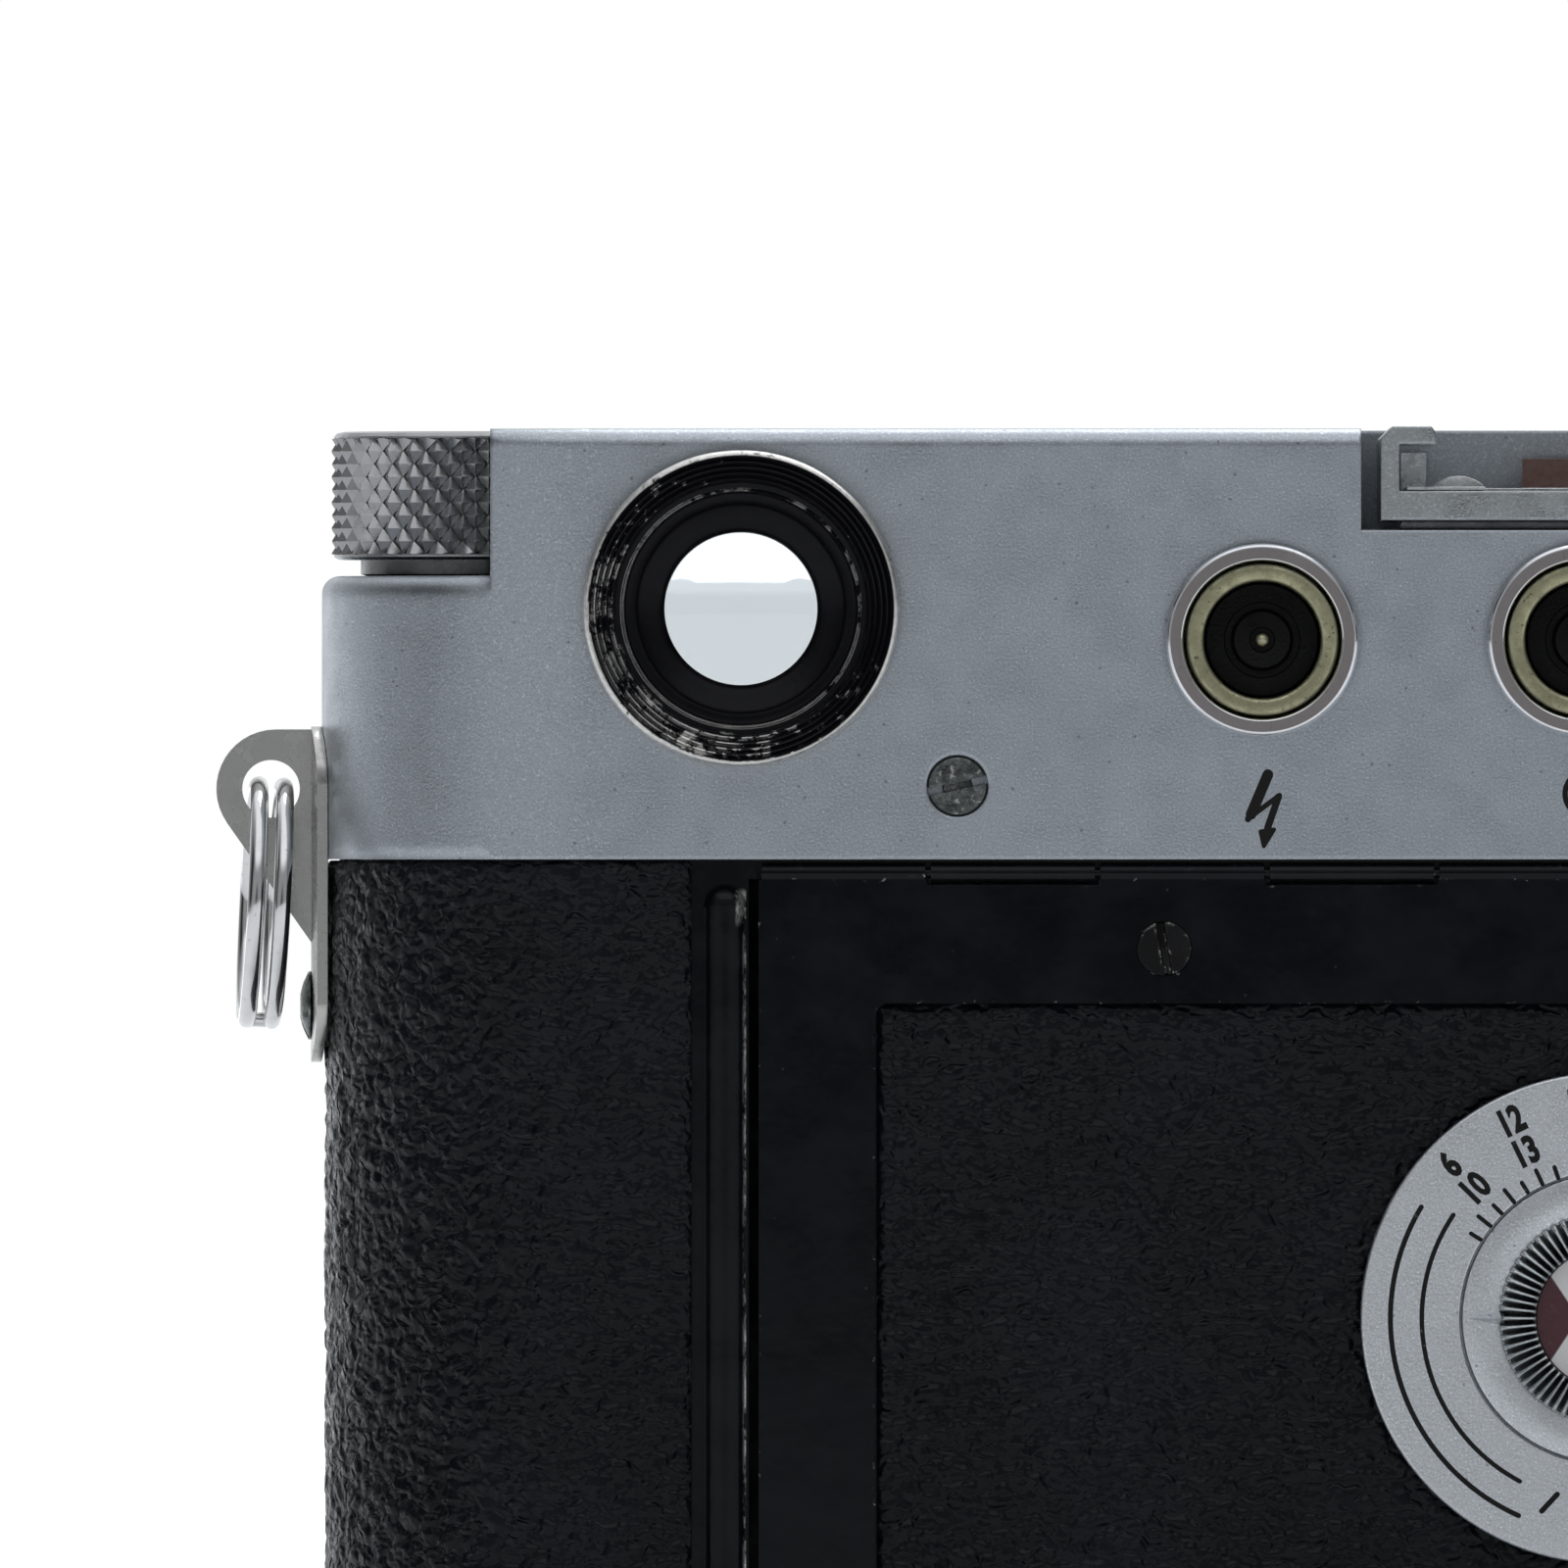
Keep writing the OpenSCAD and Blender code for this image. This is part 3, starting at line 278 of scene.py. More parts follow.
def shoe_steel():
    """Spring steel of the shoe, lacquered brown on the stop between the two leaves."""
    m = Nodes("shoe_steel")
    p = m.xyz()
    stop = m.times(m.times(m.ramp(p[1], -2.7, -2.85), m.ramp(p[2], 74.03, 74.08)),
        m.near(p[0], 4.3, 3.3, 0.1))
    base = m.mix(m.ramp(m.noise(1.5, 5, 0.7), 0.4, 0.7), rgb(0.72, 0.74, 0.76), rgb(0.55, 0.56, 0.57))
    base = m.mix(stop, base, m.mix(m.noise(2, 4), rgb(0.10, 0.055, 0.045), rgb(0.17, 0.10, 0.085)))
    return m.set(Base_Color=base, Metallic=m.minus(1.0, stop),
        Roughness=m.ramp(m.noise(2, 4), 0.3, 0.7, 0.22, 0.38), Normal=m.bump(m.noise(4, 3), 0.015))


def cast(name, tone):
    """Cast or turned alloy inside the camera: coarse skin with machining lines."""
    m = Nodes(name)
    skin = m.noise(2.2, 6, 0.7)
    base = m.mix(m.ramp(skin, 0.3, 0.7), shade(tone, 0.8), rgb(*tone))
    lines = m.noise(0.8, 2, 0.5, m.stretch(0.4, 0.4, 9))
    return m.set(Base_Color=base, Metallic=1.0, Roughness=m.ramp(lines, 0.3, 0.7, 0.32, 0.5),
        Normal=m.bump(skin, 0.03))


def aged_brass(name, tone):
    """Old brass: olive brown with lighter rubbed rims and dark pitting."""
    m = Nodes(name)
    patina = m.ramp(m.noise(1.1, 6, 0.7), 0.3, 0.7)
    base = m.mix(patina, rgb(*tone), shade(tone, 0.62))
    base = m.mix(m.times(m.edges(0.15), 0.6), base, rgb(0.75, 0.72, 0.6))
    base = m.mix(m.ramp(m.noise(5, 3), 0.62, 0.72), base, shade(tone, 0.3))
    return m.set(Base_Color=base, Metallic=0.85, Roughness=m.ramp(patina, 0, 1, 0.30, 0.5),
        Normal=m.bump(m.noise(4, 4), 0.02))


def coated_glass(name, tint, film=0.0):
    """Optical glass with faint smears and, on lens elements, an interference coating."""
    m = Nodes(name)
    smear = m.ramp(m.noise(0.35, 4, 0.6), 0.4, 0.8, 0.0, 0.05)
    return m.set(Base_Color=m.mix(smear, rgb(*tint), rgb(1, 1, 1)), Roughness=smear,
        Transmission_Weight=1.0, IOR=1.46, Thin_Film_Thickness=film, Thin_Film_IOR=1.38)


def moulded(name, tone, rough, gloss=0.4):
    """Moulded or printed plastic with a slightly uneven surface."""
    m = Nodes(name)
    cloud = m.noise(0.8, 4, 0.6)
    base = m.mix(cloud, shade(tone, 0.85), shade(tone, 1.1))
    return m.set(Base_Color=base, Roughness=m.ramp(cloud, 0.3, 0.7, rough - 0.06, rough + 0.08),
        Specular_IOR_Level=gloss, Normal=m.bump(m.noise(5, 3), 0.02))


def enamel(name, tone):
    """Paint filled into engraved figures and lines, slightly broken where it has aged."""
    m = Nodes(name)
    chip = m.ramp(m.noise(3, 4, 0.7), 0.66, 0.72)
    base = m.mix(m.times(chip, 0.5), rgb(*tone), rgb(0.28, 0.26, 0.24))
    return m.set(Base_Color=base, Roughness=m.ramp(m.noise(2, 3), 0.3, 0.7, 0.35, 0.55),
        Specular_IOR_Level=0.15, Normal=m.bump(m.noise(6, 3), 0.02))


def shell_paint():
    """Gloss black shell and beads; the bead's inner edge is rubbed to a bright line, with a painted
    highlight near the top of the bead.
    """
    m = Nodes("shell_paint")
    p = m.xyz()
    smear = m.ramp(m.noise(0.25, 5, 0.65), 0.35, 0.75)
    line = m.plus(m.near(p[0], 47.32, 0.04, 0.07), m.near(p[0], -40.62, 0.04, 0.07))
    # Painted highlight near the top of the bead, joined to the rubbed line
    painted_highlight = m.times(m.near(p[0], 47.55, 0.1, 0.2), m.near(p[2], 52.6, 0.4, 0.7))
    line = m.most(line, m.times(painted_highlight, 0.8))
    broken = m.ramp(m.noise(1.0, 6, 0.8, m.stretch(1, 1, 0.4)), 0.44, 0.60)
    back = m.times(m.ramp(p[1], 13.2, 13.6), m.ramp(p[2], 53.6, 53.3))
    # worn carries the rubbed line and the painted highlight into colour and metal
    worn = m.times(m.times(line, broken), back)
    scuff = m.ramp(m.noise(0.9, 7, 0.8, m.stretch(1, 1, 0.3)), 0.66, 0.72)
    base = m.mix(smear, rgb(0.0028, 0.0036, 0.0045), rgb(0.0065, 0.0085, 0.0095))
    base = m.mix(m.times(scuff, 0.3), base, rgb(0.07, 0.08, 0.07))
    base = m.mix(worn, base, rgb(0.55, 0.55, 0.53))
    return m.set(Base_Color=base, Metallic=worn, Roughness=m.ramp(smear, 0, 1, 0.12, 0.26),
        Specular_IOR_Level=0.16, Normal=m.bump(m.noise(0.35, 3), 0.012))


def eyepiece_black():
    """Black eyepiece cone: the ridges are rubbed bright, mostly low and on one side."""
    m = Nodes("eyepiece_black")
    p = m.xyz()
    r = m.radius(0, 2, EYE_AT)
    lean = m.plus(m.times(m.minus(p[0], EYE_AT[0]), 0.012), m.times(m.minus(p[2], EYE_AT[1]), -0.010))
    chips = m.plus(m.noise(1.1, 6, 0.72), lean)
    ridge = m.times(m.ramp(m.edges(0.16, 0.001, 0.03), 0.0, 0.6), m.ramp(r, 6.4, 6.5))
    flake = m.plus(m.noise(0.8, 7, 0.75), lean)
    worn = m.most(m.times(ridge, m.ramp(chips, 0.56, 0.60)), m.times(m.ramp(flake, 0.665, 0.68),
        m.ramp(r, 6.3, 6.5)))
    rim = m.times(m.ramp(r, 7.78, 7.86), m.ramp(m.noise(1.3, 5, 0.7), 0.28, 0.42))
    ring = m.times(m.near(r, 6.07, 0.05, 0.06), m.ramp(chips, 0.40, 0.55))
    bare = m.most(m.most(worn, rim), ring)
    base = m.mix(m.noise(1.2, 4), rgb(0.002, 0.002, 0.003), rgb(0.006, 0.006, 0.008))
    base = m.mix(bare, base, m.mix(m.noise(3, 4), rgb(0.42, 0.40, 0.37), rgb(0.85, 0.85, 0.84)))
    return m.set(Base_Color=base, Metallic=bare, Roughness=m.ramp(bare, 0, 1, 0.3, 0.36),
        Specular_IOR_Level=0.12, Normal=m.bump(m.noise(3, 4), 0.02))


def type_disc():
    """Printed reminder disc: maroon wedges left and right on white."""
    m = Nodes("type_disc")
    p = m.xyz()
    side = m.math("ABSOLUTE", m.minus(p[0], DOOR_AT[0]))
    up = m.math("ABSOLUTE", m.minus(p[2], DOOR_AT[1]))
    white = m.ramp(m.minus(up, m.times(m.minus(side, 1.4), 1.5)), -0.08, 0.08)
    wear = m.ramp(m.noise(2.5, 5, 0.7), 0.60, 0.75)
    base = m.mix(white, rgb(0.055, 0.010, 0.016), rgb(0.62, 0.61, 0.60))
    base = m.mix(m.times(wear, 0.35), base, rgb(0.3, 0.26, 0.24))
    return m.set(Base_Color=base, Roughness=0.4, Normal=m.bump(m.noise(4, 3), 0.02))


def woven():
    """Rubberised shutter cloth: a fine plain weave."""
    m = Nodes("woven")
    p = m.xyz()
    across = m.math("SINE", m.times(p[0], 22.0))
    along = m.math("SINE", m.times(p[2], 22.0))
    weave = m.times(across, along)
    base = m.mix(m.ramp(weave, -0.6, 0.6), rgb(0.008, 0.008, 0.009), rgb(0.03, 0.03, 0.032))
    return m.set(Base_Color=base, Roughness=0.8, Sheen_Weight=0.15, Normal=m.bump(weave, 0.05))


# seams paints shade into seams and sunk parts; on rib_chrome it shades the foot of the pointer's ribs
satin_chrome = satin("satin_chrome", (0.44, 0.475, 0.515), rounding=0.28, seams=0.9)
dial_chrome = satin("dial_chrome", (0.62, 0.645, 0.675), 1.6, (0.34, 0.44))
lens_chrome = satin("lens_chrome", (0.58, 0.59, 0.61), 1.2)
rail_chrome = satin("rail_chrome", (0.42, 0.445, 0.46), 0.8, (0.24, 0.38), 0.25, 0.9)
rib_chrome = satin("rib_chrome", (0.62, 0.645, 0.655), 0.6, (0.18, 0.28), seams=0.4)
knurl_chrome = polished("knurl_chrome", (0.33, 0.335, 0.34), 0.24, fine=0.003)
dull_rim = polished("dull_rim", (0.30, 0.275, 0.275), 0.30)
# The knob's neck: dark polished steel standing in for painted shade
neck_painted_shade = polished("neck_painted_shade", (0.13, 0.13, 0.13), 0.25)
bright_chrome = polished("bright_chrome", (0.74, 0.75, 0.77), 0.07)
bright_steel = polished("bright_steel", (0.66, 0.66, 0.66), 0.09, (14, 14, 1))
lug_steel = polished("lug_steel", (0.48, 0.475, 0.46), 0.24, (12, 12, 2))
screw_steel = old_screw()
black_lacquer = worn_black("black_lacquer", (0.0028, 0.0036, 0.0048), (0.5, 0.5, 0.48), (0.08, 0.13),
    0.06)
black_steel = worn_black("black_steel", (0.006, 0.006, 0.0065), (0.3, 0.3, 0.29), (0.22, 0.34), 0.45)
eyepiece_paint = eyepiece_black()
leather = leather_look("leather", (0.0040, 0.0046, 0.0062))
cast_alloy = cast("cast_alloy", (0.46, 0.47, 0.49))
worn_brass = aged_brass("worn_brass", (0.40, 0.39, 0.25))
gear_brass = aged_brass("gear_brass", (0.62, 0.46, 0.22))
lens_glass = coated_glass("lens_glass", (0.93, 0.95, 1.0), 320.0)
finder_glass = coated_glass("finder_glass", (0.97, 0.99, 1.0))
frosted = moulded("frosted", (0.62, 0.66, 0.66), 0.5)
black_plastic = moulded("black_plastic", (0.004, 0.004, 0.004), 0.3, gloss=0.12)
black_fill = enamel("black_fill", (0.008, 0.008, 0.008))
white_fill = enamel("white_fill", (0.75, 0.75, 0.72))
red_fill = enamel("red_fill", (0.35, 0.02, 0.02))
shutter_cloth = woven()

LOOKS = (
    (shell_paint(), "body_shell"),
    (leather, "leather_cover door_leather"),
    (cast_alloy, "chassis sprocket take_up_spool curtain_drum curtain_roller"),
    (satin_chrome, "top_cover base_plate lock_disc advance_lever shutter_speed_dial"),
    (bright_chrome, "mount_flange window_bezels socket_rings release_collar lever_bosses"
                    " lock_handle shutter_button lens_release_button"),
    (screw_steel, "slotted_screws"),
    (finder_glass, "finder_windows eyepiece_lens finder_optics counter_window"),
    (frosted, "illumination_window"),
    (eyepiece_paint, "eyepiece_ring"),
    (worn_brass, "socket_bushes"),
    (black_plastic, "socket_insulators counter_dial"),
    (rail_chrome, "accessory_shoe"),
    (shoe_steel(), "shoe_spring"),
    (lug_steel, "strap_lugs"),
    (black_steel, "hinge_pin door_screws pressure_plate iris_blades"),
    (shutter_cloth, "shutter_curtain"),
    (black_lacquer, "back_door"),
    (dial_chrome, "film_speed_scale film_speed_pointer"),
    (type_disc(), "film_type_disc"),
    (bright_steel, "pressure_springs rewind_shaft rewind_fork strap_ring_rewind_end"
                   " strap_ring_lever_end"),
    (gear_brass, "advance_gear idler_gear rangefinder_arm"),
    (knurl_chrome, "rewind_knob"),
    (lens_chrome, "rewind_release_lever self_timer_lever frame_selector_lever lens_mount"
                  " focus_ring lens_barrel aperture_ring"),
    (lens_glass, "lens_elements"),
)
for look, names in LOOKS:
    for name in names.split():
        nodes[name].data.materials.clear()
        nodes[name].data.materials.append(look)


# ---------------------------------------------------------------- shape helpers

def placed(origin, x, y, z):
    """A matrix from a local frame to the row frame, all in millimetres."""
    m = Matrix((x, y, z)).transposed().to_4x4()
    m.translation = origin
    return m


def on_back(at, y=0.0):
    """Local x to the viewer's right and y up, seen from behind; z out of the back."""
    return placed((at[0], y, at[1]), (-1, 0, 0), (0, 0, 1), (0, 1, 0))


def on_front(at, y=0.0):
    return placed((at[0], y, at[1]), (1, 0, 0), (0, 0, 1), (0, -1, 0))


def on_top(at, z=0.0):
    """Read from behind the camera, looking down."""
    return placed((at[0], at[1], z), (-1, 0, 0), (0, -1, 0), (0, 0, 1))


class Shape:
    """One mesh piece put together in millimetres in the row frame."""

    def __init__(self):
        self.bm = bmesh.new()

    def mesh(self, points, faces, at=Matrix.Identity(4), look=0):
        verts = [self.bm.verts.new(at @ Vector(p)) for p in points]
        for f in faces:
            try:
                self.bm.faces.new([verts[i] for i in f]).material_index = look
            except ValueError:
                pass
        return verts

    def lathe(self, profile, at, steps=128, wave=None, look=0):
        """Turns the closed (radius, height) outline about local z. wave(radius, height, angle)
        gives the radius and height at that angle."""
        points, faces, n = [], [], len(profile)
        for i in range(steps):
            a = math.tau * i / steps
            for r, h in profile:
                if wave:
                    r, h = wave(r, h, a)
                points.append((*polar(r, a), h))
        for i in range(steps):
            j = (i + 1) % steps
            for k in range(n):
                m = (k + 1) % n
                faces.append((i * n + k, j * n + k, j * n + m, i * n + m))
        return self.mesh(points, faces, at, look)

    def prism(self, outline, low, high, at, look=0):
        """An outline in local x and y, from low to high along local z."""
        n = len(outline)
        points = [(x, y, h) for h in (low, high) for x, y in outline]
        faces = [tuple(range(n))[::-1], tuple(range(n, 2 * n))]
        faces += [(i, (i + 1) % n, n + (i + 1) % n, n + i) for i in range(n)]
        return self.mesh(points, faces, at, look)

    def stroke(self, path, width, low, high, at, look=0):
        """A line of constant width with round ends along a path in local x and y."""
        pts = [Vector(p) for p in path]
        left, right = [], []
        for i, p in enumerate(pts):
            d = (pts[min(i + 1, len(pts) - 1)] - pts[max(i - 1, 0)]).normalized()
            n = Vector((-d.y, d.x)) * width / 2
            left.append(p + n)
            right.append(p - n)

        def cap(p, q):
            mid, arm = (p + q) / 2, (p - q) / 2
            return [mid + Matrix.Rotation(-math.pi * k / 6, 2) @ arm for k in range(1, 6)]
        ring = left + cap(left[-1], right[-1]) + right[::-1] + cap(right[0], left[0])
        self.prism([(v.x, v.y) for v in ring][::-1], low, high, at, look)

    def text(self, string, size, at, turn=0.0, centre=(0, 0), depth=0.05, look=0, squeeze=0.85,
            bold=0.0):
        """Figures centred on a local point, turned, and raised by depth. bold thickens the strokes."""
        curve = bpy.data.curves.new("figures", "FONT")
        curve.body = string
        curve.size = size
        curve.align_x, curve.align_y = "CENTER", "CENTER"
        curve.extrude = depth / 2
        curve.offset = bold
        curve.resolution_u = 3
        made = bpy.data.objects.new("figures", curve)
        flat = bpy.data.meshes.new_from_object(made)
        turned = at @ Matrix.Translation((*centre, 0)) @ Matrix.Rotation(turn, 4, "Z")
        turned = turned @ Matrix.Diagonal((squeeze, 1, 1, 1))
        flat.transform(turned)
        for p in flat.polygons:
            p.material_index = look
        self.bm.from_mesh(flat)
        bpy.data.objects.remove(made)
        bpy.data.curves.remove(curve)
        bpy.data.meshes.remove(flat)

    def done(self, name, body, looks, replaces=(), slot=None, sharp=32, bevel=0.0):
        """Makes the object: metres, outward normals, smooth faces between sharp edges."""
        bmesh.ops.remove_doubles(self.bm, verts=self.bm.verts, dist=1e-4)
        bmesh.ops.recalc_face_normals(self.bm, faces=self.bm.faces)
        self.bm.transform(Matrix.Scale(MM, 4))
        data = bpy.data.meshes.new(name)
        self.bm.to_mesh(data)
        self.bm.free()
        made = piece(name, data, body, looks, replaces, sharp, bevel)
        even = made.modifiers.new("even", "WEIGHTED_NORMAL")
        even.keep_sharp = True


def piece(name, data, body, looks, replaces=(), sharp=32, bevel=0.0):
    data.shade_smooth()
    data.set_sharp_from_angle(angle=math.radians(sharp))
    for look in looks:
        data.materials.append(look)
    made = bpy.data.objects.new(name, data)
    bpy.context.scene.collection.objects.link(made)
    if bevel:
        add_bevel(made, bevel, sharp)
    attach(made, body)
    if replaces:
        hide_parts(*replaces)
    return made


def add_bevel(made, width, angle=35):
    edge = made.modifiers.new("edge", "BEVEL")
    edge.width = width * MM
    edge.segments = 2
    edge.limit_method = "ANGLE"
    edge.angle_limit = math.radians(angle)
    edge.miter_outer = "MITER_ARC"


def soften(name, width):
    """Rounds a CAD node's sharp edges with modifiers alone."""
    node = nodes[name]
    weld = node.modifiers.new("weld", "WELD")
    weld.merge_threshold = 1e-6
    flat = node.modifiers.new("flat", "DECIMATE")
    flat.decimate_type = "DISSOLVE"
    flat.angle_limit = math.radians(0.8)
    add_bevel(node, width)


def rounded_box(w, h, r, steps=6):
    """Outline of a rectangle with round corners about the origin."""
    out = []
    for cx, cy, a0 in ((1, 1, 0), (-1, 1, 90), (-1, -1, 180), (1, -1, 270)):
        for k in range(steps + 1):
            a = math.radians(a0 + 90 * k / steps)
            out.append((cx * (w / 2 - r) + r * math.cos(a), cy * (h / 2 - r) + r * math.sin(a)))
    return out


def polar(r, a):
    return r * math.cos(a), r * math.sin(a)


def arc(r, a0, a1, steps=48):
    return [polar(r, math.radians(a0 + (a1 - a0) * k / steps)) for k in range(steps + 1)]


# ---------------------------------------------------------------- leather

# One pebble of the leather, in millimetres
CELL_WIDE, CELL_TALL = 1.7, 1.2

def smooth_noise(x, y, seed):
    """Value noise from 0 to 1 on arrays."""
    grid = np.random.default_rng(seed).random((64, 64))
    i, j = np.floor(x).astype(int), np.floor(y).astype(int)
    u, v = x - i, y - j
    u, v = u * u * (3 - 2 * u), v * v * (3 - 2 * v)
    i, j = i % 64, j % 64
    a, b = grid[i, j], grid[(i + 1) % 64, j]
    c, d = grid[i, (j + 1) % 64], grid[(i + 1) % 64, (j + 1) % 64]
    return a * (1 - u) * (1 - v) + b * u * (1 - v) + c * (1 - u) * v + d * u * v


def grain(x, y, seed):
    """Height from 0 to 1 of pebbled leather: rounded islands between pinched creases."""
    x = x + 1.1 * (smooth_noise(x / 2.3, y / 2.3, seed) - 0.5) + 0.35 * smooth_noise(x / 0.6, y / 0.6,
        seed + 1)
    y = y + 1.0 * (smooth_noise(x / 2.6, y / 2.6, seed + 2) - 0.5) + 0.3 * smooth_noise(x / 0.7, y / 0.7,
        seed + 3)
    u, v = x / CELL_WIDE, y / CELL_TALL
    i, j = np.floor(u), np.floor(v)
    rng = np.random.default_rng(seed + 4)
    px, py = rng.random((128, 128)), rng.random((128, 128))
    first = np.full(x.shape, 9.0)
    second = np.full(x.shape, 9.0)
    tone = np.zeros(x.shape)
    for di in (-1, 0, 1):
        for dj in (-1, 0, 1):
            a, b = (i + di).astype(int) % 128, (j + dj).astype(int) % 128
            d = np.hypot(i + di + 0.1 + 0.8 * px[a, b] - u, j + dj + 0.1 + 0.8 * py[a, b] - v)
            closer = d < first
            second = np.where(closer, first, np.minimum(second, d))
            tone = np.where(closer, px[b, a], tone)
            first = np.where(closer, d, first)
    crease = np.clip((second - first) / 0.60, 0, 1)
    island = (1 - (1 - crease) ** 1.8) * (0.5 + 0.5 * tone)
    fine = smooth_noise(x / 0.55, y / 0.45, seed + 5) * 0.06 + smooth_noise(x / 2.6, y / 1.9,
        seed + 6) * 0.34
    return np.clip(island * 0.60 + fine, 0, 1)


def centres(a):
    """The middle of each square of a grid of values."""
    return (a[:-1, :-1] + a[1:, 1:]) / 2


def grid_quads(n, m):
    index = np.arange(n * m).reshape(n, m)
    return np.stack([index[:-1, :-1], index[1:, :-1], index[1:, 1:], index[:-1, 1:]], -1)


def sheet_mesh(name, where, keep, body, replaces):
    """A grid of points where[i, j] as one surface, without the faces that keep leaves out."""
    data = bpy.data.meshes.new(name)
    quads = grid_quads(*where.shape[:2])[keep]
    used, back = np.unique(quads, return_inverse=True)
    points = (where.reshape(-1, 3)[used] * MM).astype(np.float32)
    quads = back.reshape(-1, 4)
    data.vertices.add(len(points))
    data.vertices.foreach_set("co", points.ravel())
    data.loops.add(quads.size)
    data.loops.foreach_set("vertex_index", quads.ravel())
    data.polygons.add(len(quads))
    data.polygons.foreach_set("loop_start", np.arange(0, quads.size, 4))
    data.update(calc_edges=True)
    data.validate()
    return piece(name, data, body, [leather], replaces, 80)


def body_leather(fine=0.2, coarse=0.36):
    """Grained cover round the whole body, from one side of the door to the other."""
    x0, x1, low, high = 50.02, -43.32, 8.85, 54.93
    straight = END_X - x0
    half_turn = math.pi * OUT_R
    front = 2 * END_X
    total = straight + half_turn + front + half_turn + (END_X + x1)
    s = np.concatenate([np.arange(0, 31, fine), np.linspace(31, total, int((total - 31) / coarse))])
    z = np.linspace(low, high, int(46.1 / fine))
    s, z = np.meshgrid(s, z, indexing="ij")
    edge = np.minimum(np.minimum(s, total - s), np.minimum(z - low, high - z))
    roll = np.sqrt(np.clip(1 - (1 - np.clip(edge / 0.3, 0, 1)) ** 2, 0, 1))
    h = 0.29 * grain(s, z, 3) * np.clip(edge / 0.5, 0.5, 1)
    slow = 0.05 * smooth_noise(s / 9, z / 7, 17)
    r = OUT_R - 0.35 + h + slow - 0.2 * (1 - roll)
    t1, t2, t3 = straight, straight + half_turn, straight + half_turn + front
    t4 = t3 + half_turn
    a1, a2 = (s - t1) / OUT_R, (s - t3) / OUT_R
    runs = [s < t1, s < t2, s < t3, s < t4]
    x = np.select(runs, [x0 + s, END_X + r * np.sin(a1), END_X - (s - t2), -END_X - r * np.sin(a2)],
        -END_X + (s - t4))
    y = np.select(runs, [r, r * np.cos(a1), -r, -r * np.cos(a2)], r)
    mid_x, mid_y, mid_z = centres(x), centres(y), centres(z)
    keep = ~((mid_y < 0) & (np.hypot(mid_x - LENS_AT[0], mid_z - LENS_AT[1]) < 23.4))
    keep &= ~((mid_y < 0) & (np.hypot(mid_x + 23, mid_z - 24) < 2.8))
    sheet_mesh("leather_skin", np.stack([x, y, z], -1), keep, "camera_body", ("leather_cover",))


def door_skin(step=0.22):
    """Grained panel set into the door, flat where the speed scale presses on it."""
    wide, tall, mid_z = 74.44, 32.24, 31.5
    x = DOOR_AT[0] + np.linspace(-wide / 2, wide / 2, int(wide / step))
    z = mid_z + np.linspace(-tall / 2, tall / 2, int(tall / step))
    x, z = np.meshgrid(x, z, indexing="ij")
    edge = np.minimum(wide / 2 - np.abs(x - DOOR_AT[0]), tall / 2 - np.abs(z - mid_z))
    roll = np.sqrt(np.clip(1 - (1 - np.clip(edge / 0.4, 0, 1)) ** 2, 0, 1))
    h = 0.27 * grain(x, z, 41) * np.clip(edge / 0.8, 0.2, 1)
    dial = np.hypot(x - DOOR_AT[0], z - DOOR_AT[1])
    h *= np.clip((dial - 12.2) / 0.8, 0, 1)
    y = 14.62 + h - 0.18 * (1 - roll)
    keep = np.hypot(centres(x) - DOOR_AT[0], centres(z) - DOOR_AT[1]) > 9.2
    sheet_mesh("door_skin", np.stack([x, y, z], -1), keep, "back_door", ("door_leather",))


body_leather()
door_skin()


# ---------------------------------------------------------------- rewind knob

def knurl(shape, r, z0, z1, count, rows, depth, at_x, flat):
    """Pyramids between two families of helical grooves, cut off square at z0 and z1."""
    tall = (z1 - z0) / rows
    part = bmesh.new()
    made = {}

    def corner(u, v, lift):
        u = u % (2 * count)
        key = (round(u, 3), round(v, 3), round(lift, 3))
        if key not in made:
            a = math.tau * u / (2 * count)
            made[key] = part.verts.new(((r + lift) * math.cos(a), (r + lift) * math.sin(a),
                z0 + v * tall / 2))
        return made[key]
    for row in range(-1, int(2 * rows) + 2):
        for k in range(count):
            u, v = 2 * k + (row % 2), row
            low = [corner(u + 1, v, -depth), corner(u, v + 1, -depth * 0.8), corner(u - 1, v, -depth),
                corner(u, v - 1, -depth * 0.8)]
            top = [corner(u + flat, v, 0), corner(u, v + flat, 0), corner(u - flat, v, 0),
                corner(u, v - flat, 0)]
            for i in range(4):
                j = (i + 1) % 4
                part.faces.new((low[i], low[j], top[j], top[i]))
            part.faces.new(top)
    for z, side in ((z0, -1), (z1, 1)):
        bmesh.ops.bisect_plane(part, geom=part.verts[:] + part.edges[:] + part.faces[:], dist=1e-5,
            plane_co=(0, 0, z), plane_no=(0, 0, side), clear_outer=True)
    for v in part.verts:
        v.co.x += at_x
    data = bpy.data.meshes.new("knurl")
    part.to_mesh(data)
    part.free()
    shape.bm.from_mesh(data)
    bpy.data.meshes.remove(data)


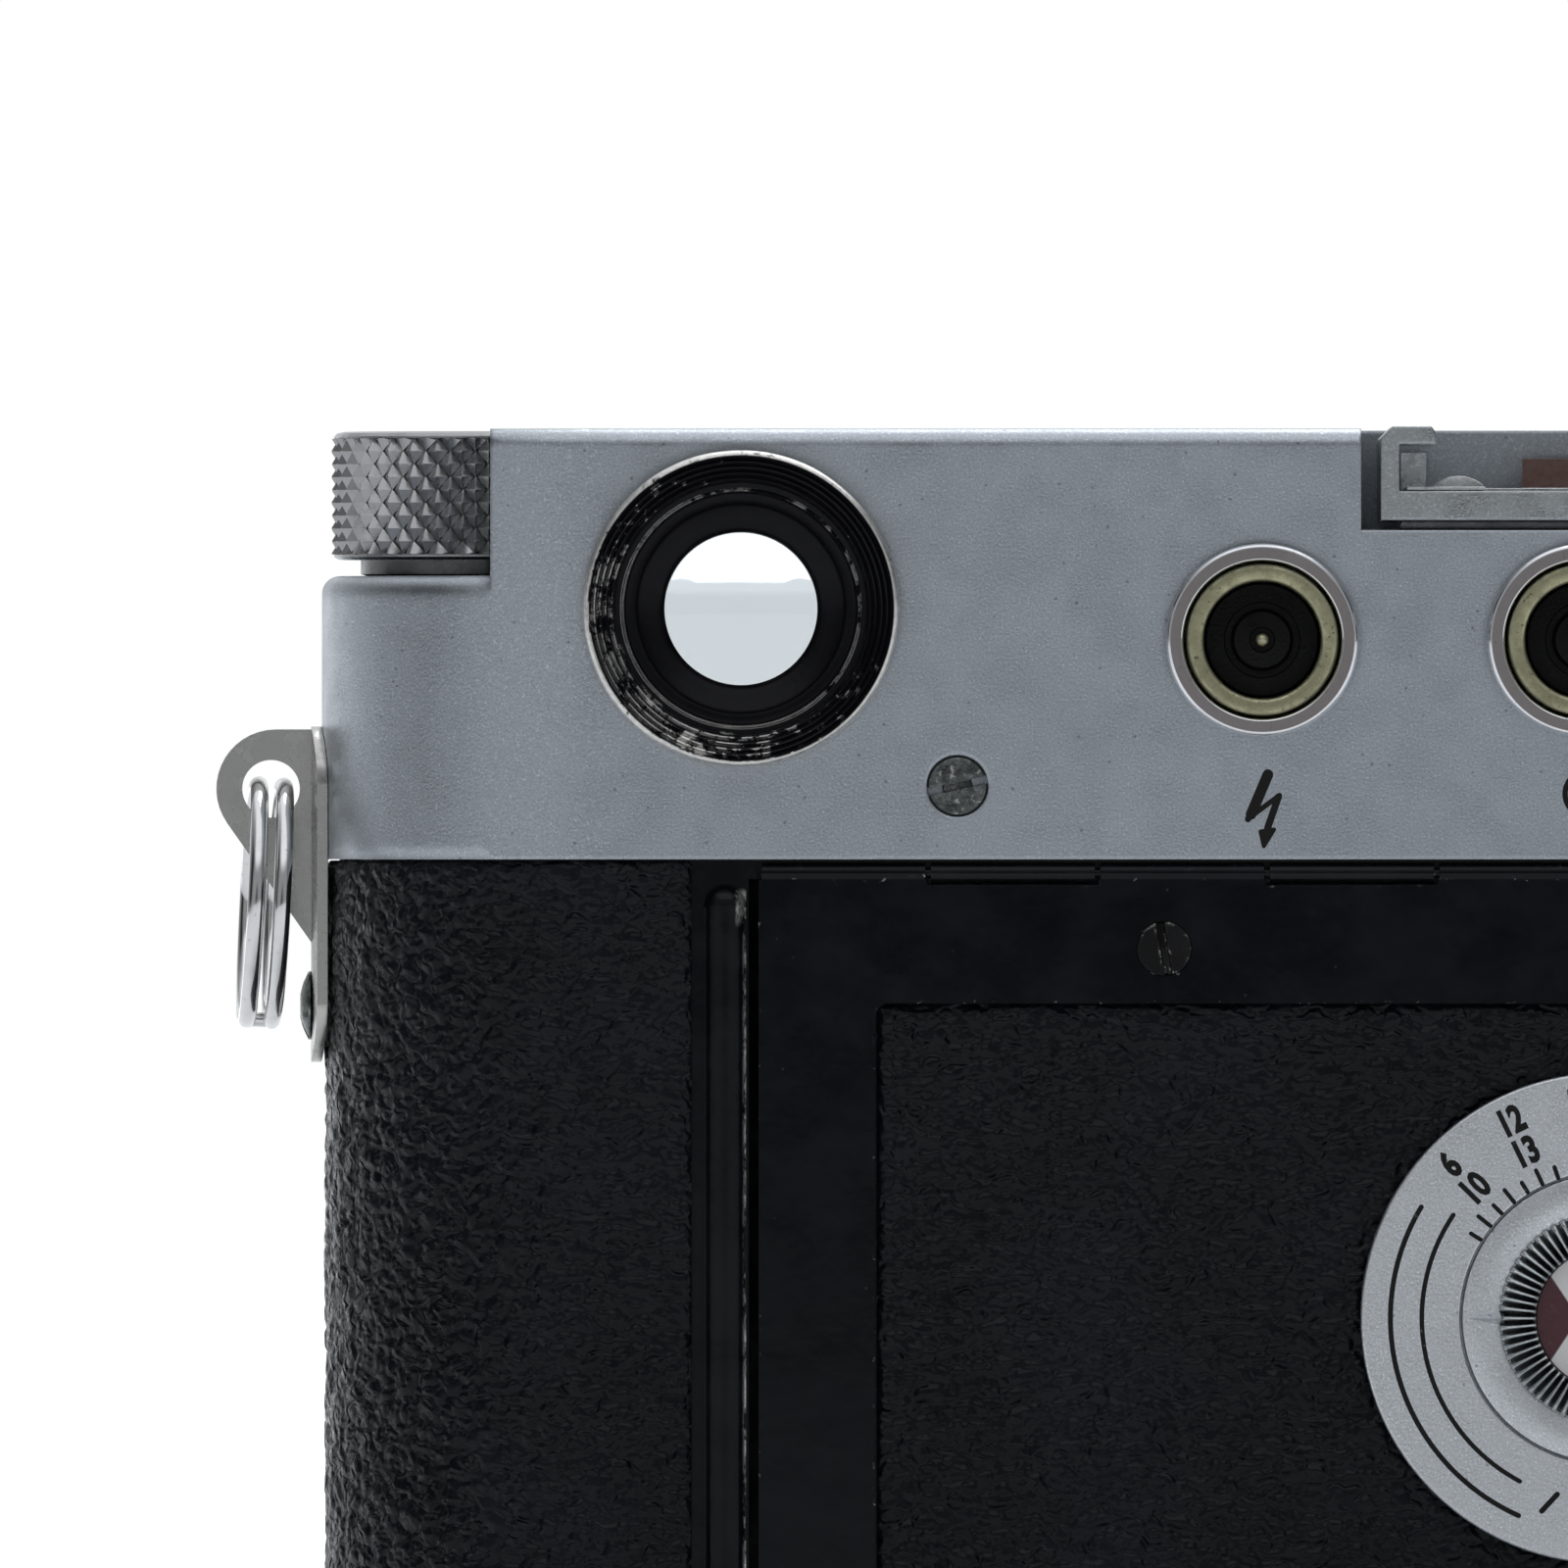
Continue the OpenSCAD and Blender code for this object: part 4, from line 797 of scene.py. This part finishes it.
def rewind_knob():
    at = Matrix.Translation((KNOB_X, 0, 0))
    knob = Shape()
    low, high = 70.62, 76.55
    knurl(knob, 7.74, low, high, 35, 4.5, 0.46, KNOB_X, 0.08)
    # The neck and collar under the knob take the painted shade material
    knob.lathe([(0.02, 58.9), (1.5, 58.9), (1.5, 69.5), (5.9, 69.5), (6.25, 69.6), (6.25, 70.4),
        (0.02, 70.4)], at, 128, look=1)
    body = [(0.02, 70.32), (7.1, 70.32), (7.42, 70.36), (7.62, 70.48), (7.62, 70.6), (7.46, 70.66),
        (7.25, 70.7), (7.25, 76.45), (7.46, 76.5), (7.62, 76.57), (7.62, 76.66), (7.45, 76.82),
        (7.1, 76.9), (3.3, 76.9), (3.05, 76.75), (3.0, 76.5), (0.02, 76.5)]
    knob.lathe(body, at, 160)
    knob.done("knob_knurled", "rewind_knob", [knurl_chrome, neck_painted_shade], ("rewind_knob",),
        "bright_chrome", 25)
    arrow = Shape()
    top = on_top((KNOB_X, 0), 76.88)
    arrow.stroke(arc(5.3, 60, 150, 30), 0.35, 0, 0.02, top)
    tip = Matrix.Rotation(math.radians(150), 4, "Z")
    arrow.prism([(5.3 - 0.8, -0.05), (5.3 + 0.8, -0.05), (5.3, 1.3)], 0, 0.02, top @ tip)
    arrow.done("knob_arrow", "rewind_knob", [black_fill])


rewind_knob()


# ---------------------------------------------------------------- back of the top cover

def eyepiece():
    at = on_back(EYE_AT)
    profile = [(3.9, 12.62), (6.15, 12.62), (6.15, 15.03), (8.05, 15.03), (8.08, 15.3), (8.08, 16.95),
        (8.02, 17.18), (7.9, 17.34), (7.78, 17.36), (7.70, 17.22), (7.62, 17.02), (7.50, 17.10),
        (7.42, 17.06), (7.34, 16.82), (7.22, 16.90), (7.13, 16.86), (7.04, 16.60), (6.92, 16.68),
        (6.83, 16.62), (6.74, 16.36), (6.60, 16.42), (6.50, 16.34), (6.40, 15.95), (6.14, 15.90),
        (6.06, 15.98), (5.98, 15.90), (5.92, 15.5), (5.86, 14.7), (5.45, 14.55), (5.30, 14.62),
        (5.18, 14.5), (4.5, 14.2), (4.15, 14.05), (3.98, 13.9), (3.9, 13.7)]

    def worn(r, h, a):
        if h < 16.2:
            return r, h
        dent = 0.035 * math.sin(3 * a + 1) + 0.02 * math.sin(7 * a) + 0.012 * math.sin(17 * a + 2)
        return min(r + dent * 0.4 * (r > 7.6), 8.1), h + dent
    ring = Shape()
    ring.lathe(profile, at, 240, worn)
    ring.done("eyepiece_cone", "camera_body", [eyepiece_paint], ("eyepiece_ring",), "black_paint", 50)


def flash_sockets():
    rings, bushes, cores = Shape(), Shape(), Shape()
    for s in SOCKETS:
        at = on_back(s)
        # Bright outer edge, dull flat face
        rings.lathe([(4.70, 15.9), (4.70, 16.195), (4.15, 16.195), (4.15, 15.9)], at, 160, look=1)
        rings.lathe([(3.99, 12.62), (4.35, 12.62), (4.35, 15.02), (4.93, 15.03), (4.93, 15.86),
            (4.91, 15.98), (4.86, 16.09), (4.80, 16.16), (4.74, 16.19), (4.14, 16.19), (4.09, 16.15),
            (4.05, 16.02), (3.99, 15.75)], at, 160)
        bushes.lathe([(3.0, 12.42), (3.9, 12.42), (3.9, 15.6), (3.86, 15.78), (3.76, 15.88),
            (3.62, 15.9), (3.2, 15.9), (3.1, 15.86), (3.02, 15.75), (3.0, 15.6)], at, 128)
        cores.lathe([(0.02, 12.42), (2.92, 12.42), (2.92, 13.4), (2.82, 13.55), (1.95, 13.58),
            (1.9, 13.5), (1.6, 13.5), (1.5, 13.6), (1.5, 14.25), (1.42, 14.36), (0.66, 14.4),
            (0.6, 14.3), (0.02, 14.25)], at, 96)
        cores.lathe([(0.02, 14.0), (0.33, 14.0), (0.33, 15.3), (0.26, 15.48), (0.12, 15.56),
            (0.02, 15.58)], at, 32, look=1)
    rings.done("socket_rims", "camera_body", [bright_chrome, dull_rim], ("socket_rings",),
        "bright_chrome", 40)
    bushes.done("socket_sleeves", "camera_body", [worn_brass], ("socket_bushes",), "worn_brass", 40)
    cores.done("socket_cores", "camera_body", [black_plastic, worn_brass], ("socket_insulators",),
        "black_plastic", 40)


def symbols():
    """Engraved flash and bulb signs under the sockets, filled black."""
    out = Shape()
    at = on_back((0, 0), 14.99)
    lines = at @ Matrix.Translation((-20.95, 57.65, 0))
    # A heavy slanted stroke, a thin return, a second stroke and an arrow head
    for path, width, high in (
            ([(0.34, 1.68), (-0.52, -0.35)], 0.55, 0.03),
            ([(-0.70, -0.62), (-0.2, -0.22), (0.93, 0.62)], 0.26, 0.032),
            ([(-0.52, -0.3), (-0.68, -0.6)], 0.32, 0.034),
            ([(0.88, 0.55), (0.32, -1.05)], 0.36, 0.036),
            ([(-0.04, -1.22), (0.66, -1.12)], 0.2, 0.04),
            ([(0.66, -1.12), (0.13, -1.98)], 0.2, 0.042),
            ([(0.13, -1.98), (-0.04, -1.22)], 0.2, 0.044)):
        out.stroke(path, width, 0, high, lines)
    out.prism([(-0.08, -1.2), (0.72, -1.08), (0.14, -2.05)], 0, 0.038, lines)
    bulb = Matrix.Translation((-4.3, 58.35, 0))
    out.stroke(arc(1.15, -60, 240, 36), 0.28, 0, 0.03, at @ bulb)
    for side in (-1, 1):
        out.stroke([(side * 0.6, -0.98), (side * 0.45, -1.35), (side * 0.45, -1.7)], 0.26, 0, 0.03,
            at @ bulb)
    for half, y in ((0.45, -1.75), (0.3, -2.1)):
        out.stroke([(-half, y), (half, y)], 0.26, 0, 0.03, at @ bulb)
    out.done("cover_signs", "camera_body", [black_fill])


eyepiece()
flash_sockets()
symbols()


# ---------------------------------------------------------------- film speed reminder on the door

def speed_scale():
    at = on_back(DOOR_AT)
    ring = Shape()
    ring.lathe([(7.48, 14.98), (12.5, 14.98), (12.55, 15.05), (12.55, 15.72), (12.48, 15.84),
        (12.36, 15.9), (7.62, 15.9), (7.52, 15.87), (7.48, 15.8)], at, 200)
    ring.done("speed_scale_ring", "back_door", [dial_chrome], ("film_speed_scale",), "satin_alloy", 40)
    marks = Shape()
    top = on_back(DOOR_AT, 15.885)
    outer = ("6", "12", "25", "50", "100", "200", "400")
    inner = ("10", "13", "16", "19", "22", "25", "28")
    for i, (a, b) in enumerate(zip(outer, inner)):
        angle = math.radians(135.5 - 19.5 * i)
        for string, r in ((a, 11.12), (b, 9.38)):
            middle = polar(r, angle)
            marks.text(string, 1.9, top, angle - math.pi / 2, middle, 0.05, squeeze=0.72, bold=0.09)
    for i in range(25):
        angle = math.radians(148 - 6.5 * i)
        long = 8.35 if i % 2 else 8.15
        marks.stroke([polar(7.56, angle), polar(long, angle)], 0.22, 0, 0.025, top)
    marks.stroke(arc(11.02, 149, 246), 0.26, 0, 0.025, top)
    marks.stroke([(-3.3, -9.83), (-2.51, -8.98)], 0.28, 0, 0.025, top)
    marks.stroke([(3.3, -9.83), (2.51, -8.98)], 0.28, 0, 0.025, top)
    marks.text("-", 2.2, top, math.radians(274.5 + 90), (0, -9.8), 0.05)
    marks.stroke(arc(11.02, 303, 352), 0.26, 0, 0.025, top)
    marks.stroke(arc(9.42, 146, 242), 0.24, 0, 0.025, top)
    marks.stroke(arc(9.42, 307, 350), 0.24, 0, 0.025, top)
    marks.done("speed_scale_marks", "back_door", [black_fill], slot="black_paint", sharp=30)


def speed_pointer():
    at = on_back(DOOR_AT)
    disc = Shape()
    disc.lathe([(3.6, 14.55), (8.55, 14.55), (8.55, 14.82), (7.38, 14.82), (7.38, 15.62), (7.33, 15.72),
        (7.22, 15.76), (5.62, 15.76), (5.5, 15.72), (3.6, 15.5)], at, 160)
    ribs = 66

    def rib(r, h, a):
        phase = (a * ribs / math.tau) % 1.0
        up = 0.5 + 0.5 * math.cos(math.tau * phase)
        if h > 16.0 and 3.75 < r < 5.5:
            return r, h - 0.5 * (1 - up) ** 1.3
        if h > 15.76 and r >= 5.3:
            return r - 0.14 * (1 - up), h
        return r, h
    disc.lathe([(3.6, 15.4), (5.2, 15.4), (5.45, 15.74), (5.45, 16.02), (5.36, 16.2), (5.1, 16.34),
        (4.5, 16.55), (3.98, 16.68), (3.78, 16.66), (3.62, 16.5)], at, ribs * 8, rib, look=1)
    # The pointer: a slim ridge that tapers to the scale
    turn = Matrix.Rotation(math.pi, 4, "Z")
    disc.mesh([(5.2, -0.4, 15.7), (5.2, 0.4, 15.7), (7.3, 0, 15.7), (5.2, 0, 16.3), (6.9, 0, 16.02)],
        [(0, 2, 4, 3), (2, 1, 3, 4), (1, 0, 3), (0, 1, 2)], at @ turn, 1)
    disc.done("speed_pointer_disc", "film_speed_pointer", [dial_chrome, rib_chrome],
        ("film_speed_pointer",), "satin_alloy", 38)


speed_scale()
speed_pointer()


# ---------------------------------------------------------------- controls on the top

def speed_dial():
    at = on_top(DIAL_AT)
    dial = Shape()

    def teeth(r, h, a):
        if r > 7.1 and 72.0 < h < 75.7:
            return r - 0.24 * (0.5 - 0.5 * math.cos(72 * a)) ** 0.6, h
        return r, h
    dial.lathe([(0.02, 64.5), (1.8, 64.5), (1.8, 71.36), (6.9, 71.36), (7.0, 71.8), (7.25, 72.05),
        (7.4, 72.2), (7.4, 75.5), (7.25, 75.72), (7.0, 75.95), (6.9, 76.3), (6.75, 76.47), (6.5, 76.5),
        (3.1, 76.5), (2.95, 76.42), (2.8, 76.3), (0.02, 76.3)], at, 576, teeth)
    top = on_top(DIAL_AT, 76.485)
    figures = ("B", "1", "2", "4", "8", "15", "30", "60", "125", "250", "500", "1000")
    for i, string in enumerate(figures):
        angle = math.radians(90 - 25 * i)
        middle = polar(4.75, angle)
        look = 2 if string == "B" else 1
        dial.text(string, 1.5, top, angle - math.pi / 2, middle, 0.03, look, 0.7)
        dial.stroke([polar(6.0, angle), polar(6.5, angle)], 0.2, 0, 0.015, top, look)
    dial.done("speed_dial_knurled", "shutter_speed_dial", [satin_chrome, black_fill, red_fill],
        ("shutter_speed_dial",), "satin_chrome", 30)
    mark = Shape()
    mark.prism([(-0.35, 0.9), (0.35, 0.9), (0, 0)], 0, 0.02, on_top((DIAL_AT[0], DIAL_AT[1] - 9.1),
        70.99))
    mark.done("speed_index", "camera_body", [black_fill])


def counter():
    dial = Shape()
    at = on_top((-61, -4))
    dial.lathe([(0.85, 68.2), (5.2, 68.2), (5.2, 68.9), (5.1, 69.0), (0.95, 69.0), (0.85, 68.95)], at,
        96)
    top = on_top((-61, -4), 68.99)
    for i in range(40):
        angle = math.radians(-52.0 - 9.0 * i)
        near = 4.3 if i % 5 else 4.0
        dial.stroke([polar(near, angle), polar(4.9, angle)], 0.12, 0, 0.015, top, 1)
        if i % 5 == 0:
            middle = polar(3.3, angle)
            dial.text(str(i), 1.1, top, angle - math.pi / 2, middle, 0.02, 1, 0.7)
    dial.done("counter_disc", "counter_dial", [black_plastic, white_fill], ("counter_dial",),
        "black_plastic", 30)


def button():
    at = on_top((-51, 0))
    knob = Shape()
    knob.lathe([(1.5, 71.62), (2.6, 71.62), (2.6, 76.25), (2.52, 76.45), (2.32, 76.58), (2.0, 76.6),
        (1.75, 76.5), (1.6, 76.3), (1.5, 76.1)], at, 96)
    knob.lathe([(0.02, 62.0), (2.6, 62.0), (2.6, 71.7), (0.02, 71.7)], at, 96)
    knob.done("button_dished", "shutter_button", [bright_chrome], ("shutter_button",), "bright_chrome",
        40)


speed_dial()
counter()
button()


# ---------------------------------------------------------------- lens

def lens_rings():
    at = on_front(LENS_AT)

    def scallops(r, h, a):
        if r > 22.5 and 23.4 < h < 30.4:
            turn = (a * 9 / math.tau) % 1.0
            if turn < 0.62:
                return r - 0.75 * math.sin(math.pi * turn / 0.62) ** 0.5, h
            return r - 0.12 * (0.5 - 0.5 * math.cos(math.tau * (turn - 0.62) * 21)), h
        return r, h
    ring = Shape()
    ring.lathe([(19.5, 22.47), (23.0, 22.47), (23.3, 22.6), (23.4, 23.2), (23.6, 23.6), (23.6, 30.2),
        (23.4, 30.6), (22.9, 31.1), (22.5, 31.25), (19.7, 31.25), (19.5, 31.1)], at, 756, scallops)
    tab = Matrix.Rotation(math.radians(-140), 4, "Z")
    side = []
    for k in range(25):
        a = math.radians(-24 + 2 * k)
        side.append((37.2 - 11 * math.cos(a), 11 * math.sin(a)))
    outline = [(22.7, 4.5)] + [(x, y) for x,
        y in reversed(side) if x <= 27.5 and abs(y) <= 4.4] + [(22.7, -4.5)]
    outline.insert(1, (27.5, 4.5))
    outline.insert(-1, (27.5, -4.5))
    ring.prism(outline, 23.4, 28.0, at @ tab)
    for i, string in enumerate(("1", "1.2", "1.5", "2", "3", "5", "10")):
        a = math.radians(90 - 21 * i)
        middle = polar(21.3, a)
        ring.text(string, 1.7, on_front(LENS_AT, -31.24), a - math.pi / 2, middle, 0.03, 1, 0.75)
    ring.done("focus_ring_scalloped", "focus_ring", [lens_chrome, black_fill], ("focus_ring",),
        "satin_alloy", 30, 0.08)

    def ridges(r, h, a):
        if r > 20.5 and 37.7 < h < 40.4:
            return r - 0.3 * (0.5 - 0.5 * math.cos(90 * a)) ** 0.5, h
        return r, h
    stop = Shape()
    stop.lathe([(18.17, 36.92), (20.5, 36.92), (20.7, 37.2), (20.9, 37.9), (20.9, 40.2), (20.7, 40.7),
        (20.55, 42.85), (20.3, 43.03), (18.17, 43.03)], at, 720, ridges)
    for i, string in enumerate(("2.8", "4", "5.6", "8", "11", "16", "22")):
        wrap_text(stop, string, 1.6, 20.6, 41.75, -15 * i, 1)
    stop.done("aperture_ring_ridged", "aperture_ring", [lens_chrome, black_fill], ("aperture_ring",),
        "satin_alloy", 30)
    scale = Shape()
    for i, string in enumerate(("22", "16", "11", "8", "5.6", "4", "4", "5.6", "8", "11", "16", "22")):
        turn = (-42, -31, -22.5, -15, -9.5, -5, 5, 9.5, 15, 22.5, 31, 42)[i]
        if string not in ("4", "5.6"):
            wrap_text(scale, string, 1.15, 21.02, 32.7, turn, 0)
        wrap_line(scale, 21.02, turn, 33.7, 34.9, 0.16)
    wrap_line(scale, 21.02, 0, 32.0, 34.9, 0.34, 1)
    scale.done("depth_scale", "lens_mount", [black_fill, red_fill])
    dot = Shape()
    wrap_line(dot, 20.42, 0, 43.4, 44.6, 0.4)
    dot.done("aperture_index", "lens_barrel", [black_fill])
    front = Shape()
    groove = []
    for k in range(9):
        h = 49.4 + k * 0.52
        groove += [(19.12, h), (19.28, h + 0.26)]
    front.lathe([(14.05, 46.62), (14.6, 46.62), (15.1, 46.78), (18.9, 48.95), (19.1, 49.2)] + groove
        + [(19.1, 53.9), (19.3, 54.0), (20.0, 54.0), (20.36, 53.85), (20.38, 53.3), (20.1, 53.1),
        (20.1, 52.7), (20.38, 52.5), (20.38, 46.3), (20.3, 43.3), (18.9, 43.25), (14.05, 43.25)], at,
        240)
    front.lathe([(14.0, 34.6), (18.06, 34.6), (18.06, 44.0), (14.0, 44.0)], at, 160)
    front.lathe([(14.0, 17.05), (18.06, 17.05), (18.06, 34.7), (14.0, 34.7)], at, 160)
    front.lathe([(15.5, 14.62), (17.5, 14.62), (17.5, 17.1), (15.5, 17.1)], at, 160)
    front.lathe([(14.02, 46.5), (14.5, 46.64), (18.8, 48.98), (19.05, 49.3), (19.05, 49.36),
        (14.02, 46.75)], at, 200, look=1)
    front.done("barrel_front", "lens_barrel", [lens_chrome, black_lacquer], ("lens_barrel",),
        "satin_alloy", 30)


def on_ring(r, h, turn):
    """A place on a ring about the lens axis, facing outward; turn is in degrees from the top."""
    a = math.radians(90 - turn)
    return placed((LENS_AT[0] + r * math.cos(a), -h, LENS_AT[1] + r * math.sin(a)),
        (math.sin(a), 0, -math.cos(a)), (0, 1, 0), (math.cos(a), 0, math.sin(a)))


def wrap_text(shape, string, size, r, h, turn, look):
    """Figures standing on a ring about the lens axis, read from above and in front."""
    shape.text(string, size, on_ring(r, h, turn), 0.0, (0, 0), 0.06, look, 0.8)


def wrap_line(shape, r, turn, h0, h1, width, look=0):
    shape.stroke([(0, -h0), (0, -h1)], width, -0.03, 0.03, on_ring(r, 0, turn), look)


lens_rings()


# ---------------------------------------------------------------- shutter cloth

def curtain():
    """A thin cloth sheet, with one metal slat beside it."""
    x = np.linspace(-22.6, 33.0, 140)
    z = np.linspace(19.0, 47.0, 72)
    x, z = np.meshgrid(x, z, indexing="ij")
    y = 6.16 + 0.025 * np.sin(x * 1.3) * np.sin(z * 0.9)
    data = bpy.data.meshes.new("curtain_cloth")
    points = np.stack([x, y, z], -1).reshape(-1, 3) * MM
    quads = grid_quads(*x.shape).reshape(-1, 4)
    data.from_pydata(points.tolist(), [], quads.tolist())
    cloth = piece("curtain_cloth", data, "camera_body", [shutter_cloth], ("shutter_curtain",))
    thick = cloth.modifiers.new("thick", "SOLIDIFY")
    thick.thickness = 0.0002
    slat = Shape()
    slat.prism(rounded_box(1.3, 27.8, 0.3), -6.42, -6.28, on_front((26.0, 33.0)))
    slat.done("curtain_edge", "camera_body", [bright_steel], slot="bright_steel", bevel=0.03)


curtain()


# ---------------------------------------------------------------- edges of the CAD pieces

for name, width in {
    "top_cover": 0.22, "mount_flange": 0.15, "slotted_screws": 0.05, "window_bezels": 0.12,
    "accessory_shoe": 0.12, "shoe_spring": 0.05, "strap_lugs": 0.3, "release_collar": 0.12,
    "lever_bosses": 0.12, "base_plate": 0.15, "lock_disc": 0.12, "lock_handle": 0.1,
    "back_door": 0.30, "door_screws": 0.05, "pressure_plate": 0.2, "advance_lever": 0.25,
    "rewind_release_lever": 0.2, "self_timer_lever": 0.25, "frame_selector_lever": 0.2,
    "lens_release_button": 0.15, "lens_mount": 0.12, "pressure_springs": 0.05,
    "illumination_window": 0.05, "sprocket": 0.08, "take_up_spool": 0.1,
}.items():
    soften(name, width)
for name in nodes:
    nodes[name].data.shade_smooth()
    even = nodes[name].modifiers.new("even", "WEIGHTED_NORMAL")
    even.weight = 80


# ---------------------------------------------------------------- stage

def stage():
    bpy.ops.mesh.primitive_plane_add(size=8, location=(0, 0, 0))
    floor = bpy.context.object
    floor.name = "floor"
    m = Nodes("floor")
    far = m.ramp(m.xyz()[1], -350, -850, 0.08, 1.0)
    m.set(Base_Color=m.mix(m.noise(0.01, 2), rgb(0.84, 0.85, 0.86), rgb(0.87, 0.88, 0.89)),
        Roughness=0.9, Specular_IOR_Level=0.1, Emission_Color=rgb(0.97, 0.985, 1.0),
        Emission_Strength=far)
    floor.data.materials.append(m.mat)


def sky():
    """Soft white tent: bright above and beyond the object, dim on the near side with a darker
    opening for the lens, and plain white where the lens sees past the object."""
    world = bpy.context.scene.world or bpy.data.worlds.new("studio")
    bpy.context.scene.world = world
    m = Nodes("sky", world)
    split = m.node("ShaderNodeSeparateXYZ")
    m.link(m.where.node.outputs["Generated"], split.inputs[0])
    x, y, z = split.outputs
    ramp = m.node("ShaderNodeValToRGB")
    m.link(m.math("MULTIPLY_ADD", y, 0.5, 0.5), ramp.inputs["Fac"])
    stops = ((0.0, 0.80), (0.012, 0.85), (0.03, 1.05), (0.07, 0.80), (0.16, 0.36), (0.30, 0.26),
        (0.42, 0.10), (0.50, 0.03), (0.65, 0.03), (0.73, 0.26), (0.84, 0.36), (0.965, 0.36),
        (0.99, 0.12), (1.0, 0.08))
    ramp.color_ramp.elements.remove(ramp.color_ramp.elements[0])
    for i, (at, tone) in enumerate(stops):
        stop = ramp.color_ramp.elements[0] if i == 0 else ramp.color_ramp.elements.new(at)
        stop.position = at
        stop.color = (tone * 0.955, tone * 0.98, tone, 1.0)
    # The overhead light stops short of the two ends, which stay darker
    roof = m.math("MULTIPLY_ADD", m.ramp(m.math("ABSOLUTE", x), 0.35, 0.75), -0.75, 1.0)
    overhead = m.times(roof, m.ramp(z, 0.44, 0.68))
    tent = m.mix(overhead, ramp.outputs["Color"], rgb(1.10, 1.12, 1.15))
    seen = m.node("ShaderNodeLightPath").outputs["Is Camera Ray"]
    m.link(m.mix(seen, tent, rgb(1, 1, 1)), m.tree.nodes["Background"].inputs["Color"])


def lamp(name, at, towards, size, power):
    light = bpy.data.lights.new(name, "AREA")
    light.shape = "RECTANGLE"
    light.size, light.size_y = size
    light.energy = power
    lit = bpy.data.objects.new(name, light)
    bpy.context.scene.collection.objects.link(lit)
    lit.location = at
    lit.rotation_euler = (Vector(towards) - Vector(at)).to_track_quat("-Z", "Y").to_euler()


def camera():
    shot = bpy.data.cameras.new("camera")
    shot.sensor_width = 36
    away, view_width = 3.0, 0.08
    shot.lens = shot.sensor_width * away / view_width
    shot.clip_start = 0.01
    shot.clip_end = 20
    eye = bpy.data.objects.new("camera", shot)
    bpy.context.scene.collection.objects.link(eye)
    eye.location = (45.3 * MM, 15 * MM + away, 58.85 * MM)
    eye.rotation_euler = (math.radians(90), 0, math.radians(180))
    bpy.context.scene.camera = eye


stage()
sky()
camera()
lamp("soft_top", (-0.3, -0.5, 1.1), (0, 0, 0.03), (1.0, 0.8), 5)
bpy.context.scene.view_settings.view_transform = "Standard"
